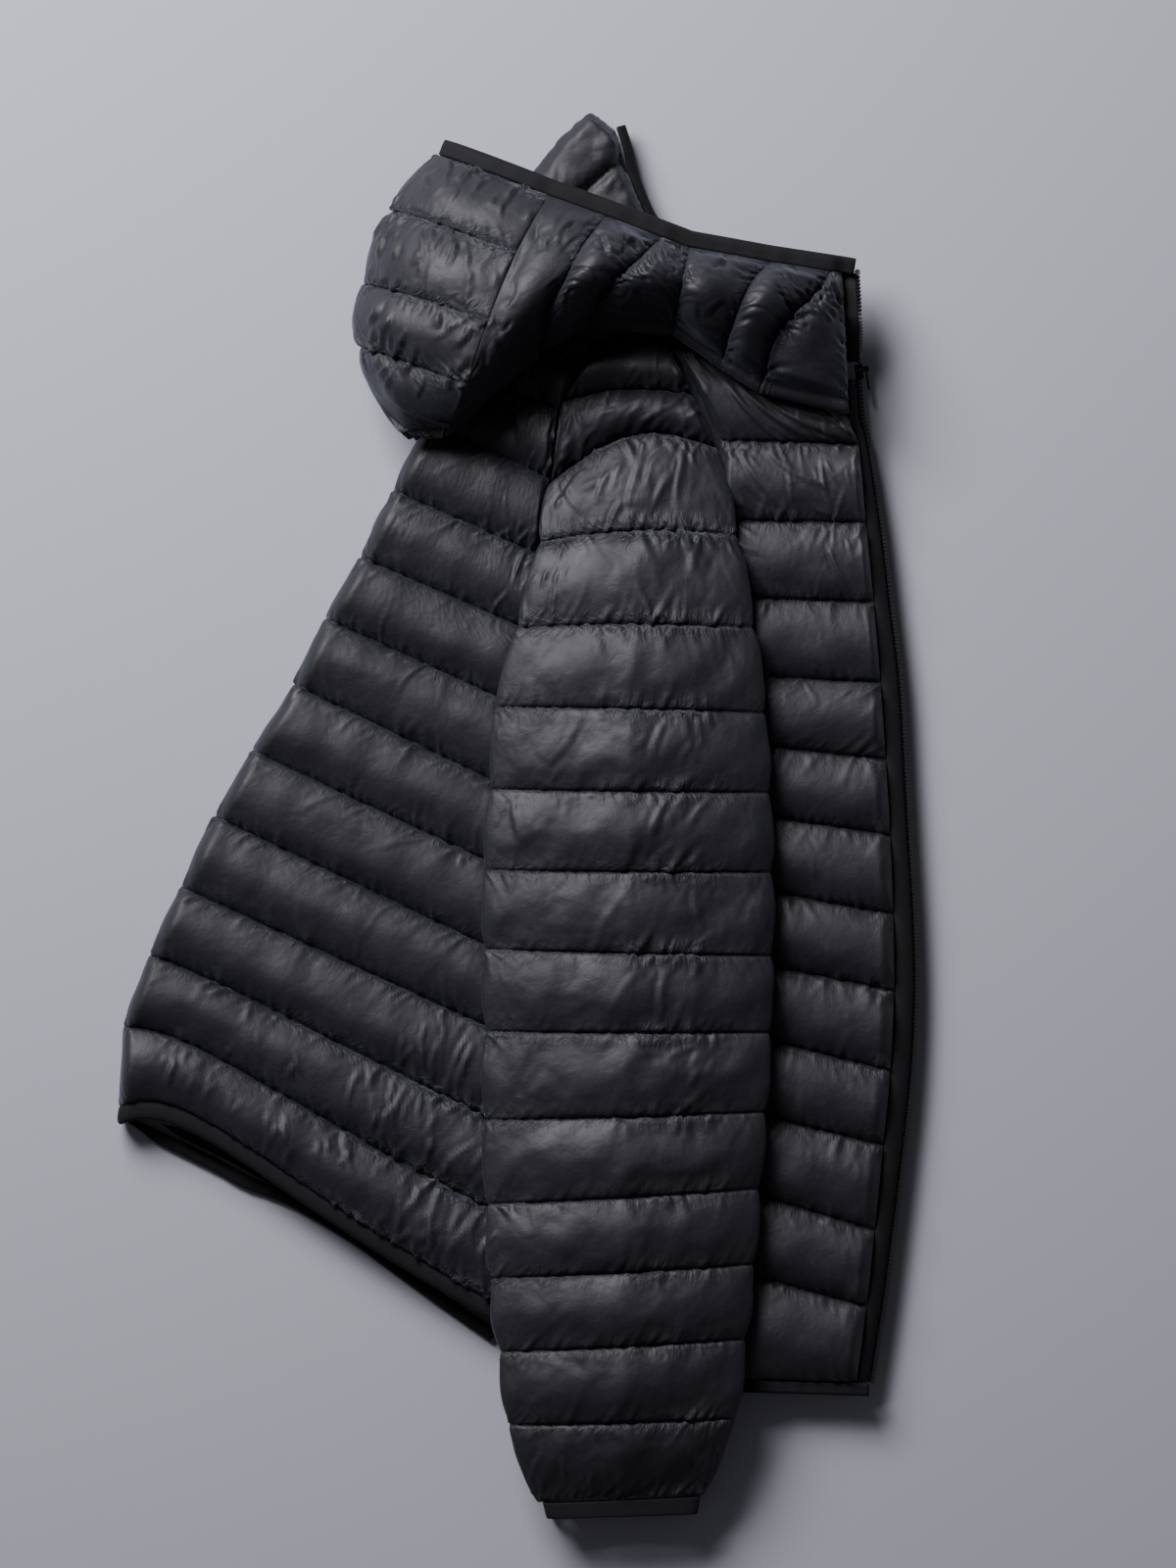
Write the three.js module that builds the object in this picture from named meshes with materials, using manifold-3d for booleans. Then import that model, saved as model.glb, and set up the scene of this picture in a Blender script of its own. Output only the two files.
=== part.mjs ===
// A light hooded puffer jacket, folded in half down its back and laid flat.
// Millimetres, +Z up, the jacket lies on z = 0 with its hood towards +Y.
import * as THREE from 'three';
import { mergeVertices } from 'three/addons/utils/BufferGeometryUtils.js';
import Module from 'manifold-3d';

const wasm = await Module();
wasm.setup();

const { clamp, degToRad, lerp, smoothstep } = THREE.MathUtils;

// Driving dimensions
const seamGap = 0.35; // between two pieces at a seam
const seamTop = 22.6; // top of the near half at a stitch line
const nearUnderside = 19.7; // plain inside of the near half
const hiddenTop = 19.0; // top of the hidden far half
const puffHeight = 11.5; // loft above a stitch line
const pressedPuff = 2.4; // loft left under the sleeve
const foldRadius = { across: 15, up: 11.4 }; // the near half rounding down at the fold
const foldWall = 4.2; // wall at a stitch line beside the fold
const bindingWidth = 7.6; // elastic along the hem
const zipTapeThickness = 1.6;
const chainWidth = 5.4;
const chainThickness = 2.6;
const sleeveSlit = { across: 0.8, height: 3 }; // the flat space inside the sleeve
// The sleeve's section: where its sides lie, how round it is above and below them, and how
// much of the puffs' height shows on it, upwards and sideways.
const sleeveShape = { sidesAt: 0.42, above: 0.8, below: 0.38, puffUp: 0.8, puffOut: 0.45 };
const cuffSlit = 2.4;
const hoodWall = 13; // padded wall of the hood
const hoodFloor = 31; // where the near side of the hood starts
const outlineWall = { upTo: 0.12, keep: 0.9, down: 3 }; // the hood's wall at the back of the head
const insideHood = { underStrip: 7.5, underSide: 3.5, least: 0.7 }; // room left for hidden layers
const farHoodTop = 30.4;
const rowsPerChannel = 4; // rows of points from one stitch line to the next
const sleeveAround = 18; // points round the sleeve, which the shoulder's seam shares

// Stitch lines of the back, from the centre fold to the side. bow lifts a line near the fold.
const backSections = [
  { foldX: -20.7, foldY: 305.1, sideX: 46.0, sideY: 290.7, bow: 0 },
  { foldX: -37.5, foldY: 272.7, sideX: 25.0, sideY: 247.5, bow: 0 },
  { foldX: -54.9, foldY: 239.7, sideX: 20.1, sideY: 206.1, bow: 0 },
  { foldX: -75.3, foldY: 198.3, sideX: 15.3, sideY: 158.7, bow: 0 },
  { foldX: -95.1, foldY: 157.5, sideX: 9.0, sideY: 112.5, bow: 0 },
  { foldX: -116.7, foldY: 119.7, sideX: 68.1, sideY: 36.3, bow: 0 },
  { foldX: -135.9, foldY: 79.5, sideX: 68.1, sideY: -19.5, bow: 0 },
  { foldX: -161.7, foldY: 38.7, sideX: 68.1, sideY: -68.7, bow: 0 },
  { foldX: -184.5, foldY: -1.5, sideX: 68.1, sideY: -121.5, bow: 0 },
  { foldX: -205.5, foldY: -44.7, sideX: 68.1, sideY: -168.9, bow: 0 },
  { foldX: -224.7, foldY: -86.7, sideX: 68.1, sideY: -226.5, bow: 3 },
  { foldX: -240.9, foldY: -130.5, sideX: 68.1, sideY: -284.7, bow: 10 },
  { foldX: -243.3, foldY: -180.3, sideX: 68.1, sideY: -344.7, bow: 20 },
];

// Stitch lines of the front, from the side or the armhole to the zip's seam and the zip itself.
const frontSections = [
  { sideX: 96.0, sideY: 287.1, edgeX: 202.5, edgeY: 243.9, zipX: 212.9 },
  { sideX: 126.0, sideY: 228.9, edgeX: 210.1, edgeY: 227.1, zipX: 216.9 },
  { sideX: 124.0, sideY: 180.3, edgeX: 214.5, edgeY: 178.5, zipX: 224.7 },
  { sideX: 120.9, sideY: 132.9, edgeX: 219.3, edgeY: 129.9, zipX: 230.7 },
  { sideX: 125.1, sideY: 85.5, edgeX: 223.5, edgeY: 80.7, zipX: 236.7 },
  { sideX: 69.1, sideY: 51.3, edgeX: 226.7, edgeY: 33.3, zipX: 239.5 },
  { sideX: 69.1, sideY: 11.7, edgeX: 229.5, edgeY: -12.9, zipX: 242.1 },
  { sideX: 69.1, sideY: -32.1, edgeX: 231.3, edgeY: -61.5, zipX: 245.1 },
  { sideX: 69.1, sideY: -75.9, edgeX: 232.0, edgeY: -108.3, zipX: 246.3 },
  { sideX: 69.1, sideY: -116.7, edgeX: 229.7, edgeY: -157.5, zipX: 243.9 },
  { sideX: 69.1, sideY: -164.7, edgeX: 225.1, edgeY: -203.1, zipX: 239.1 },
  { sideX: 69.1, sideY: -209.7, edgeX: 219.9, edgeY: -255.3, zipX: 232.6 },
  { sideX: 69.1, sideY: -263.7, edgeX: 214.9, edgeY: -301.5, zipX: 226.3 },
  { sideX: 69.1, sideY: -344.7, edgeX: 208.6, edgeY: -348.9, zipX: 218.6 },
];

// Lines across the shoulder piece, from the back to the front. arch lifts the middle.
const shoulderSections = [
  { backX: 50.3, backY: 285.9, frontX: 92.5, frontY: 287.1, arch: 9 },
  { backX: 28.2, backY: 253.5, frontX: 107.7, frontY: 257.1, arch: 9 },
  { backX: 21.3, backY: 203.5, frontX: 122.1, frontY: 225.1, arch: 18 },
];

// Stitch lines of the sleeve, back to front, with the height it lies at and how thick it is.
const sleeveSections = [
  { backX: 21.3, backY: 203.1, frontX: 122.1, frontY: 224.7, arch: 18, under: 20.6, height: 16 },
  { backX: 15.9, backY: 166.5, frontX: 134.1, frontY: 170.1, arch: 5, under: 26.2, height: 28 },
  { backX: 2.1, backY: 113.7, frontX: 144.3, frontY: 113.7, arch: 2, under: 26.2, height: 37 },
  { backX: -11.7, backY: 65.1, frontX: 150.9, frontY: 61.5, arch: 1, under: 26.2, height: 42 },
  { backX: -14.1, backY: 14.7, frontX: 153.9, frontY: 12.9, arch: 0, under: 26.2, height: 43 },
  { backX: -17.7, backY: -34.5, frontX: 155.1, frontY: -35.7, arch: 0, under: 26.2, height: 43 },
  { backX: -17.7, backY: -82.5, frontX: 155.1, frontY: -86.7, arch: 0, under: 26.2, height: 43 },
  { backX: -17.1, backY: -132.9, frontX: 153.9, frontY: -133.5, arch: 0, under: 26.2, height: 42 },
  { backX: -17.7, backY: -186.9, frontX: 150.9, frontY: -182.1, arch: 0, under: 26.2, height: 41 },
  { backX: -16.5, backY: -238.5, frontX: 147.3, frontY: -228.9, arch: 0, under: 26.2, height: 40 },
  { backX: -14.1, backY: -283.5, frontX: 144.3, frontY: -275.1, arch: 0, under: 26.2, height: 39 },
  { backX: -8.7, backY: -328.5, frontX: 138.9, frontY: -320.7, arch: 0, under: 26.2, height: 38 },
  { backX: -3.3, backY: -373.5, frontX: 133.5, frontY: -369.3, arch: 0, under: 24.2, height: 35 },
  { backX: 13.5, backY: -421.5, frontX: 113.7, frontY: -417.3, arch: 0, under: 20.4, height: 20 },
];

// Lines over the hood from its opening down to its lower rim: the outline at the back of the
// head, the seam of the centre strip, then the four deep folds and the front edge by the zip.
// Heights are of the top face: beside the opening, at the rim, and the rise between them.
const hoodSections = [
  { points: [[-48.3, 403.5], [-75.1, 369.5], [-90.7, 323.9], [-94.3, 285.5], [-70.3, 232.7]],
    openTop: 26, rimTop: 47, rise: -10 },
  { points: [[20.1, 376.5], [0.9, 339.9], [-15.9, 298.5], [-29.1, 260.1], [-40.0, 236.0]],
    openTop: 56, rimTop: 51, rise: 34 },
  { points: [[54.9, 363.9], [41.9, 345.7], [31.7, 326.5], [22.1, 306.5], [16.1, 286.9]],
    openTop: 57, rimTop: 50, rise: 38 },
  { points: [[88.7, 351.3], [75.5, 337.1], [62.9, 325.1], [51.5, 314.9], [46.1, 302.3]],
    openTop: 55, rimTop: 49, rise: 37 },
  { points: [[105.3, 345.3], [96.9, 297.9]], openTop: 52, rimTop: 48, rise: 33 },
  { points: [[155.3, 336.5], [144.5, 324.5], [136.7, 309.5], [130.7, 293.3], [126.5, 277.7]],
    openTop: 48, rimTop: 47, rise: 28 },
  { points: [[192.5, 331.1], [181.1, 315.5], [167.9, 302.9], [156.5, 287.9], [149.9, 262.7]],
    openTop: 44, rimTop: 47, rise: 20 },
  { points: [[199.5, 330.3], [203.0, 250.3]], openTop: 40, rimTop: 47, rise: 8 },
];
const centreStripLines = [0, 0.25, 0.5, 0.75, 1]; // its stitch lines, opening to rim
const centreStripPuff = 9;
const hoodPuff = 12;

// Where the hood is sewn to the hidden far half, from the zip to the fold.
const neckline = [
  [194.0, 248.7], [140.0, 270.6], [97.0, 288.2], [86.6, 292.0], [79.0, 295.7], [71.4, 296.9],
  [63.8, 295.3], [56.0, 292.0], [46.0, 292.2], [11.0, 299.6], [-15.9, 305.4],
];

// The far side of the hood shows as a peak past the opening. Outline, on from the neckline.
const farHoodOutline = [
  [-24.0, 308.0], [-37.0, 299.0], [-50.0, 279.0], [-68.0, 256.0], [-79.0, 262.0], [-85.0, 287.0],
  [-76.0, 331.0], [-59.5, 365.0], [-40.0, 388.0], [-30.3, 394.0], [-8.0, 391.0], [8.1, 387.0],
  [15.0, 397.0], [24.9, 410.0], [36.0, 421.0], [44.9, 431.1], [53.0, 424.0], [61.0, 419.0],
  [66.5, 395.1], [80.9, 361.5], [113.1, 336.0], [156.0, 322.0], [194.0, 312.0],
];

// The far half's hem shows below the near one: its lower edge, from the fold to the sleeve.
const farHem = [
  { x: -232.0, y: -188.0 },
  { x: -214.0, y: -203.0 },
  { x: -184.0, y: -217.5 },
  { x: -166.0, y: -227.5 },
  { x: -136.0, y: -239.5 },
  { x: -100.0, y: -260.5 },
  { x: -76.0, y: -277.5 },
  { x: -46.0, y: -299.0 },
  { x: -11.0, y: -323.0 },
];
// Left sleeve end and front hem of the hidden half, from there to the zip.
const farFrontHem = [
  [-8.0, -326.0], [-0.5, -366.0], [8.0, -398.0], [19.0, -421.4], [110.0, -417.7],
  [122.0, -398.0], [130.0, -366.0], [132.5, -353.0], [175.0, -355.0], [206.0, -356.0],
];

// Cuff of each sleeve: from the gathered end of the sleeve to its own lower edge.
const cuff = {
  topLeft: [16.3, -422.0], topRight: [112.8, -418.0],
  bottomLeft: [18.8, -431.5], bottomRight: [111.2, -428.6],
  nearUnder: 21.2, nearHeight: 14, farHeight: 16,
};

// The slider sits on the chain's outer face; its pull tab turns on a pin between two lugs.
const slider = { x: 210.6, y: 271.5, lean: 8, length: 9, width: 8.6, thickness: 4.6 };
const lug = { reach: 3.1, length: 2.8, thickness: 1.1 };
const pullTab = { length: 13, width: 4.6, thickness: 1.2, eyeRadius: 1.85 };
const pin = { radius: 0.7, clearance: 0.35, fromFace: 2.15 };

// A point of a table row's line at share t, lifted by its bow or arch.
function pointOnBack(row, t) {
  const early = t < 1 ? (t / 0.2) * Math.exp(1 - t / 0.2) * (1 - t) * 1.22 : 0;
  return new THREE.Vector2(
    lerp(row.foldX, row.sideX, t),
    lerp(row.foldY, row.sideY, t) + row.bow * early,
  );
}

function pointOnFront(row, t) {
  return new THREE.Vector2(lerp(row.sideX, row.edgeX, t), lerp(row.sideY, row.edgeY, t));
}

function pointAcross(row, t) {
  return new THREE.Vector2(
    lerp(row.backX, row.frontX, t),
    lerp(row.backY, row.frontY, t) + row.arch * Math.sin(Math.PI * t),
  );
}

// Blends two rows of a table, name by name.
function between(first, second, share) {
  const row = {};
  for (const name of Object.keys(first)) row[name] = lerp(first[name], second[name], share);
  return row;
}

// All rows of a quilted piece, with how full the channel is at each of them.
function channelRows(sections, perChannel = rowsPerChannel) {
  const rows = [];
  for (let i = 0; i + 1 < sections.length; i += 1) {
    for (let k = 0; k < perChannel; k += 1) {
      const share = k / perChannel;
      rows.push({ row: between(sections[i], sections[i + 1], share), fullness: fullnessAt(share) });
    }
  }
  rows.push({ row: sections[sections.length - 1], fullness: 0 });
  return rows;
}

function fullnessAt(share) {
  return Math.sqrt(Math.sin(Math.PI * share));
}

// The sleeve's two outlines where they cross height y on the table.
function sleeveSpan(y) {
  const rows = sleeveSections;
  let i = 0;
  while (i + 2 < rows.length && rows[i + 1].backY > y) i += 1;
  const share = clamp((rows[i].backY - y) / (rows[i].backY - rows[i + 1].backY), 0, 1);
  const row = between(rows[i], rows[i + 1], share);
  return { left: row.backX, right: row.frontX };
}

// How free a body point is of the sleeve that lies on it: 0 under it, 1 well clear.
function freeOfSleeve(point) {
  if (point.y > sleeveSections[0].frontY + 4) return 1;
  const span = sleeveSpan(point.y);
  const outside = Math.max(span.left - point.x, point.x - span.right);
  return smoothstep(outside, -10, 20);
}

// Under the hood the body is pressed flat too.
function freeOfHood(point) {
  const rim = point.x < 0 ? 262 : 300;
  return 1 - smoothstep(point.y, rim - 45, rim);
}

function bodyLoft(point) {
  const free = freeOfSleeve(point) * freeOfHood(point);
  return lerp(pressedPuff, puffHeight, free);
}

// Geometry of a closed solid between an outer and a coarser inner grid of points.
function wallGeometry(outer, inner, closedRound = false) {
  const columns = outer[0].length;
  const ratio = (outer.length - 1) / (inner.length - 1);
  const positions = [...outer.flat(), ...inner.flat()];
  const innerStart = outer.length * columns;
  const out = (r, c) => r * columns + (c % columns);
  const inn = (r, c) => innerStart + r * columns + (c % columns);
  const triangles = [];
  const quad = (a, b, c, d) => triangles.push([a, b, c], [a, c, d]);
  const spans = closedRound ? columns : columns - 1;
  for (let c = 0; c < spans; c += 1) {
    for (let r = 0; r + 1 < outer.length; r += 1) {
      quad(out(r, c), out(r + 1, c), out(r + 1, c + 1), out(r, c + 1));
    }
    for (let r = 0; r + 1 < inner.length; r += 1) {
      quad(inn(r, c), inn(r, c + 1), inn(r + 1, c + 1), inn(r + 1, c));
    }
    quad(out(0, c), out(0, c + 1), inn(0, c + 1), inn(0, c));
    const lastOuter = outer.length - 1;
    const lastInner = inner.length - 1;
    quad(out(lastOuter, c + 1), out(lastOuter, c), inn(lastInner, c), inn(lastInner, c + 1));
  }
  if (!closedRound) {
    const last = columns - 1;
    for (let k = 0; k + 1 < inner.length; k += 1) {
      for (let r = ratio * k; r < ratio * (k + 1); r += 1) {
        triangles.push([out(r + 1, 0), out(r, 0), inn(k, 0)]);
        triangles.push([out(r, last), out(r + 1, last), inn(k, last)]);
      }
      const end = ratio * (k + 1);
      triangles.push([out(end, 0), inn(k, 0), inn(k + 1, 0)]);
      triangles.push([inn(k, last), out(end, last), inn(k + 1, last)]);
    }
  }
  return closedGeometry(positions, triangles);
}

// Geometry from points and triangles, turned so that its faces point out.
function closedGeometry(positions, triangles) {
  let volume = 0;
  for (const [a, b, c] of triangles) {
    volume += positions[a].dot(new THREE.Vector3().crossVectors(positions[b], positions[c]));
  }
  const index = volume > 0 ? triangles.flat() : triangles.map(([a, b, c]) => [a, c, b]).flat();
  const geometry = new THREE.BufferGeometry();
  const values = positions.flatMap((p) => [p.x, p.y, p.z]);
  geometry.setAttribute('position', new THREE.Float32BufferAttribute(values, 3));
  geometry.setIndex(index);
  geometry.computeVertexNormals();
  return geometry;
}

// A rounded solid from one outline, drawn in at each level of a profile.
function layeredGeometry(outline, levels) {
  const corners = outline.map(([x, y]) => new THREE.Vector2(x, y));
  if (THREE.ShapeUtils.isClockWise(corners)) corners.reverse();
  const count = corners.length;
  const inwards = corners.map((corner, i) => {
    const before = corner.clone().sub(corners[(i + count - 1) % count]).normalize();
    const after = corners[(i + 1) % count].clone().sub(corner).normalize();
    const along = before.add(after).normalize();
    return new THREE.Vector2(-along.y, along.x);
  });
  const positions = [];
  for (const level of levels) {
    corners.forEach((corner, i) => {
      const p = corner.clone().addScaledVector(inwards[i], level.inset);
      positions.push(new THREE.Vector3(p.x, p.y, level.z));
    });
  }
  const triangles = [];
  for (let level = 0; level + 1 < levels.length; level += 1) {
    for (let i = 0; i < count; i += 1) {
      const a = level * count + i;
      const b = level * count + ((i + 1) % count);
      triangles.push([a, b, b + count], [a, b + count, a + count]);
    }
  }
  const cap = THREE.ShapeUtils.triangulateShape(corners, []);
  const top = (levels.length - 1) * count;
  for (const [a, b, c] of cap) {
    triangles.push([c, b, a], [top + a, top + b, top + c]);
  }
  return closedGeometry(positions, triangles);
}

// A band along a path: offsets across it and heights, going round its section.
function bandGeometry(path, section) {
  const positions = [];
  const count = section.length;
  path.forEach((point, i) => {
    const before = path[Math.max(i - 1, 0)];
    const after = path[Math.min(i + 1, path.length - 1)];
    const along = new THREE.Vector2(after.x - before.x, after.y - before.y).normalize();
    for (const { across, up } of section) {
      positions.push(new THREE.Vector3(
        point.x + along.y * across,
        point.y - along.x * across,
        point.z + up,
      ));
    }
  });
  const triangles = [];
  for (let i = 0; i + 1 < path.length; i += 1) {
    for (let k = 0; k < count; k += 1) {
      const a = i * count + k;
      const b = i * count + ((k + 1) % count);
      triangles.push([a, b, b + count], [a, b + count, a + count]);
    }
  }
  const end = (path.length - 1) * count;
  for (let k = 1; k + 1 < count; k += 1) {
    triangles.push([0, k + 1, k], [end, end + k, end + k + 1]);
  }
  return closedGeometry(positions, triangles);
}

// A soft-cornered band section, width across and height up from its underside.
function bandSection(width, height) {
  const half = width / 2;
  const corner = Math.min(width, height) * 0.28;
  return [
    { across: -half + corner, up: 0 }, { across: half - corner, up: 0 },
    { across: half, up: corner }, { across: half, up: height - corner },
    { across: half - corner, up: height }, { across: -half + corner, up: height },
    { across: -half, up: height - corner }, { across: -half, up: corner },
  ];
}

// The body's section from the fold inwards: the near half comes up round the fold.
const foldAngles = [-58, -20, 18, 54, 90].map(degToRad);
const backShares = [0.12, 0.26, 0.42, 0.58, 0.72, 0.86, 1];

function backRowPoints(row, fullness, side) {
  const length = Math.hypot(row.sideX - row.foldX, row.sideY - row.foldY);
  const middle = seamTop - foldRadius.up;
  const outer = side === 'outer';
  const points = foldAngles.map((angle) => {
    const reach = foldRadius.across - (outer ? 0 : foldWall);
    const rise = outer ? foldRadius.up : nearUnderside - middle;
    const start = outer ? 0 : foldWall;
    const from = pointOnBack(row, 0);
    const puffed = outer ? bodyLoft(from) * fullness * clamp((angle + 1.1) / 1.4, 0.1, 1) : 0;
    const sideways = start + reach * (1 - Math.cos(angle)) - 0.55 * puffed * Math.cos(angle);
    const p = pointOnBack(row, sideways / length);
    return new THREE.Vector3(p.x, p.y, middle + (rise + puffed) * Math.sin(angle));
  });
  const afterFold = foldRadius.across / length;
  for (const share of backShares) {
    const t = lerp(afterFold, 1, share);
    const p = pointOnBack(row, t);
    const edge = 1 - 0.75 * smoothstep(share, 0.86, 1);
    const puffed = outer ? bodyLoft(p) * fullness * edge : 0;
    points.push(new THREE.Vector3(p.x, p.y, (outer ? seamTop : nearUnderside) + puffed));
  }
  return points;
}

function backRight() {
  const rows = channelRows(backSections);
  const outer = rows.map(({ row, fullness }) => backRowPoints(row, fullness, 'outer'));
  const inner = backSections.map((row) => backRowPoints(row, 0, 'inner'));
  return wallGeometry(outer, inner);
}

// A panel between two seams: columns from side to side, flat inside, quilted outside.
function panelGeometry(sections, pointAt, shares, raised) {
  const rows = channelRows(sections);
  const outer = rows.map(({ row, fullness }) => shares.map((t) => {
    const p = pointAt(row, t);
    return new THREE.Vector3(p.x, p.y, seamTop + raised(p, t) * fullness);
  }));
  const inner = sections.map((row) => shares.map((t) => {
    const p = pointAt(row, t);
    return new THREE.Vector3(p.x, p.y, nearUnderside);
  }));
  return wallGeometry(outer, inner);
}

function edgeShare(t) {
  return 0.25 + 0.75 * smoothstep(t, 0, 0.12) * (1 - smoothstep(t, 0.86, 1));
}

function frontRight() {
  const shares = [0, 0.1, 0.28, 0.46, 0.62, 0.76, 0.9, 1];
  return panelGeometry(frontSections, pointOnFront, shares, (p, t) => bodyLoft(p) * edgeShare(t));
}

function shoulderRight() {
  const half = sleeveAround / 2;
  const shares = Array.from({ length: half + 1 }, (_, k) => 0.5 - 0.5 * Math.cos((Math.PI * k) / half));
  return panelGeometry(shoulderSections, pointAcross, shares, (p, t) => {
    const underHood = smoothstep(p.y, 262, 292);
    return lerp(puffHeight, 6, underHood) * edgeShare(t);
  });
}

// The hem's elastic carries on below the last row of the back.
function hemBindingBack() {
  const hem = backSections[backSections.length - 1];
  const downFrom = (distance) => ({
    ...hem,
    foldX: hem.foldX - 0.1 * distance,
    foldY: hem.foldY - distance,
    sideY: hem.sideY - distance,
  });
  const levels = [
    { down: seamGap, swell: 0 }, { down: 1.6, swell: 0.5 },
    { down: bindingWidth - 1.2, swell: 0.5 }, { down: bindingWidth, swell: 0 },
  ];
  const outer = levels.map(({ down, swell }) => backRowPoints(downFrom(down), 0, 'outer')
    .map((p) => p.clone().setZ(p.z + swell * 1.6)));
  const inner = [levels[0], levels[3]].map(({ down }) => backRowPoints(downFrom(down), 0, 'inner'));
  return wallGeometry(outer, inner);
}

function hemBindingFront() {
  const hem = frontSections[frontSections.length - 1];
  const path = [0, 0.25, 0.5, 0.75, 1].map((t) => {
    const p = pointOnFront(hem, t);
    return new THREE.Vector3(p.x, p.y - seamGap - bindingWidth / 2, nearUnderside);
  });
  return bandGeometry(path, bandSection(bindingWidth, 4));
}

function hemBindingLeft() {
  const path = farHem.map(({ x, y }) => new THREE.Vector3(x, y, 3));
  return bandGeometry(path, bandSection(bindingWidth, 10));
}

// The hidden far half, with the left sleeve's end below the hem.
function leftHalf() {
  const foldInset = 13;
  const foldSide = backSections.map((row) => {
    const length = Math.hypot(row.sideX - row.foldX, row.sideY - row.foldY);
    const p = pointOnBack(row, foldInset / length);
    return [p.x, p.y];
  });
  const bindingClear = bindingWidth / 2 + seamGap;
  const hem = farHem.map(({ x, y }, i) => [x + bindingClear * (i ? 0.45 : 1.6), y + bindingClear]);
  hem[hem.length - 1][0] += 1.5;
  const zipSide = frontSections.slice(1).reverse().map((row) => [row.edgeX - 1.5, row.edgeY]);
  const neck = neckline.map(([x, y]) => [x, y - seamGap]);
  const outline = [...foldSide, ...hem, ...farFrontHem, ...zipSide, ...neck];
  return layeredGeometry(outline, [
    { z: 0, inset: 2.4 }, { z: 2.2, inset: 0 }, { z: 7.6, inset: 0 }, { z: 9.2, inset: 1.8 },
    { z: 10.8, inset: 0 }, { z: 16.6, inset: 0 }, { z: hiddenTop, inset: 2.4 },
  ]);
}

// The sleeve lies flat as a tube: puffed all round but on its underside, a flat slit inside.
function sleeveRing(row, fullness, side) {
  const middle = row.under + row.height * sleeveShape.sidesAt;
  const points = [];
  for (let k = 0; k < sleeveAround; k += 1) {
    const angle = (2 * Math.PI * k) / sleeveAround;
    const rise = Math.sin(angle);
    const across = Math.cos(angle);
    if (side === 'inner') {
      const p = pointAcross(row, 0.5 + 0.5 * across * sleeveSlit.across);
      points.push(new THREE.Vector3(p.x, p.y, middle + (sleeveSlit.height / 2) * rise));
      continue;
    }
    const up = rise > 0 ? Math.pow(rise, sleeveShape.above) : -Math.pow(-rise, sleeveShape.below);
    const puff = puffHeight * sleeveShape.puffUp;
    const puffed = puff * fullness * smoothstep(rise, -0.45, 0.25);
    const reach = rise > 0 ? row.under + row.height - middle - puff : middle - row.under;
    const p = pointAcross(row, 0.5 + 0.5 * across);
    p.x += across * puffed * sleeveShape.puffOut;
    points.push(new THREE.Vector3(p.x, p.y, middle + reach * up + puffed * Math.max(rise, 0)));
  }
  return points;
}

function sleeveRight() {
  const rows = channelRows(sleeveSections);
  const top = sleeveSections[0];
  rows[0].row = { ...top, backY: top.backY - seamGap, frontY: top.frontY - seamGap };
  const outer = rows.map(({ row, fullness }) => sleeveRing(row, fullness, 'outer'));
  const inner = sleeveSections.map((row, i) => sleeveRing(i ? row : rows[0].row, 0, 'inner'));
  return wallGeometry(outer, inner, true);
}

// A gathered cuff: a flat ring below the end of its sleeve.
function cuffGeometry(under, height) {
  const around = 14;
  const ring = (share, inner) => {
    const left = new THREE.Vector2(...cuff.topLeft).lerp(new THREE.Vector2(...cuff.bottomLeft), share);
    const right = new THREE.Vector2(...cuff.topRight)
      .lerp(new THREE.Vector2(...cuff.bottomRight), share);
    const points = [];
    for (let k = 0; k < around; k += 1) {
      const angle = (2 * Math.PI * k) / around;
      const reach = inner ? 0.88 : 1;
      const rise = Math.sin(angle);
      const up = Math.sign(rise) * Math.pow(Math.abs(rise), 0.4);
      const p = left.clone().lerp(right, 0.5 + 0.5 * Math.cos(angle) * reach);
      const half = inner ? cuffSlit / 2 : height / 2;
      points.push(new THREE.Vector3(p.x, p.y, under + height / 2 + half * up));
    }
    return points;
  };
  return wallGeometry([0, 0.5, 1].map((s) => ring(s, false)), [0, 1].map((s) => ring(s, true)), true);
}

// The hood's top face: s counts hoodSections, t runs from the opening to the rim.
function hoodPoint(s, t) {
  const first = Math.min(Math.floor(s), hoodSections.length - 2);
  const share = s - first;
  const onLine = (line) => {
    const points = line.points.map(([x, y]) => new THREE.Vector3(x, y, 0));
    const curve = new THREE.CatmullRomCurve3(points);
    const p = points.length > 2 ? curve.getPoint(t) : points[0].clone().lerp(points[1], t);
    p.z = lerp(line.openTop, line.rimTop, t) + line.rise * Math.sin(Math.PI * t);
    return p;
  };
  const start = onLine(hoodSections[first]);
  const end = onLine(hoodSections[first + 1]);
  const p = start.clone().lerp(end, share);
  if (first === 0) p.z = lerp(start.z, end.z, Math.sqrt(1 - (1 - share) ** 2));
  return p;
}

// The plain inside of the hood's wall. At the outline it comes down to the outer edge.
function hoodInside(s, t) {
  const inside = hoodPoint(Math.max(s, outlineWall.upTo), t);
  inside.z = Math.max(inside.z - hoodWall, hoodFloor);
  if (s >= outlineWall.upTo) return inside;
  const edge = hoodPoint(s, t);
  const x = lerp(edge.x, inside.x, outlineWall.keep);
  return new THREE.Vector3(x, inside.y, Math.min(inside.z, edge.z - outlineWall.down));
}

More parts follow.
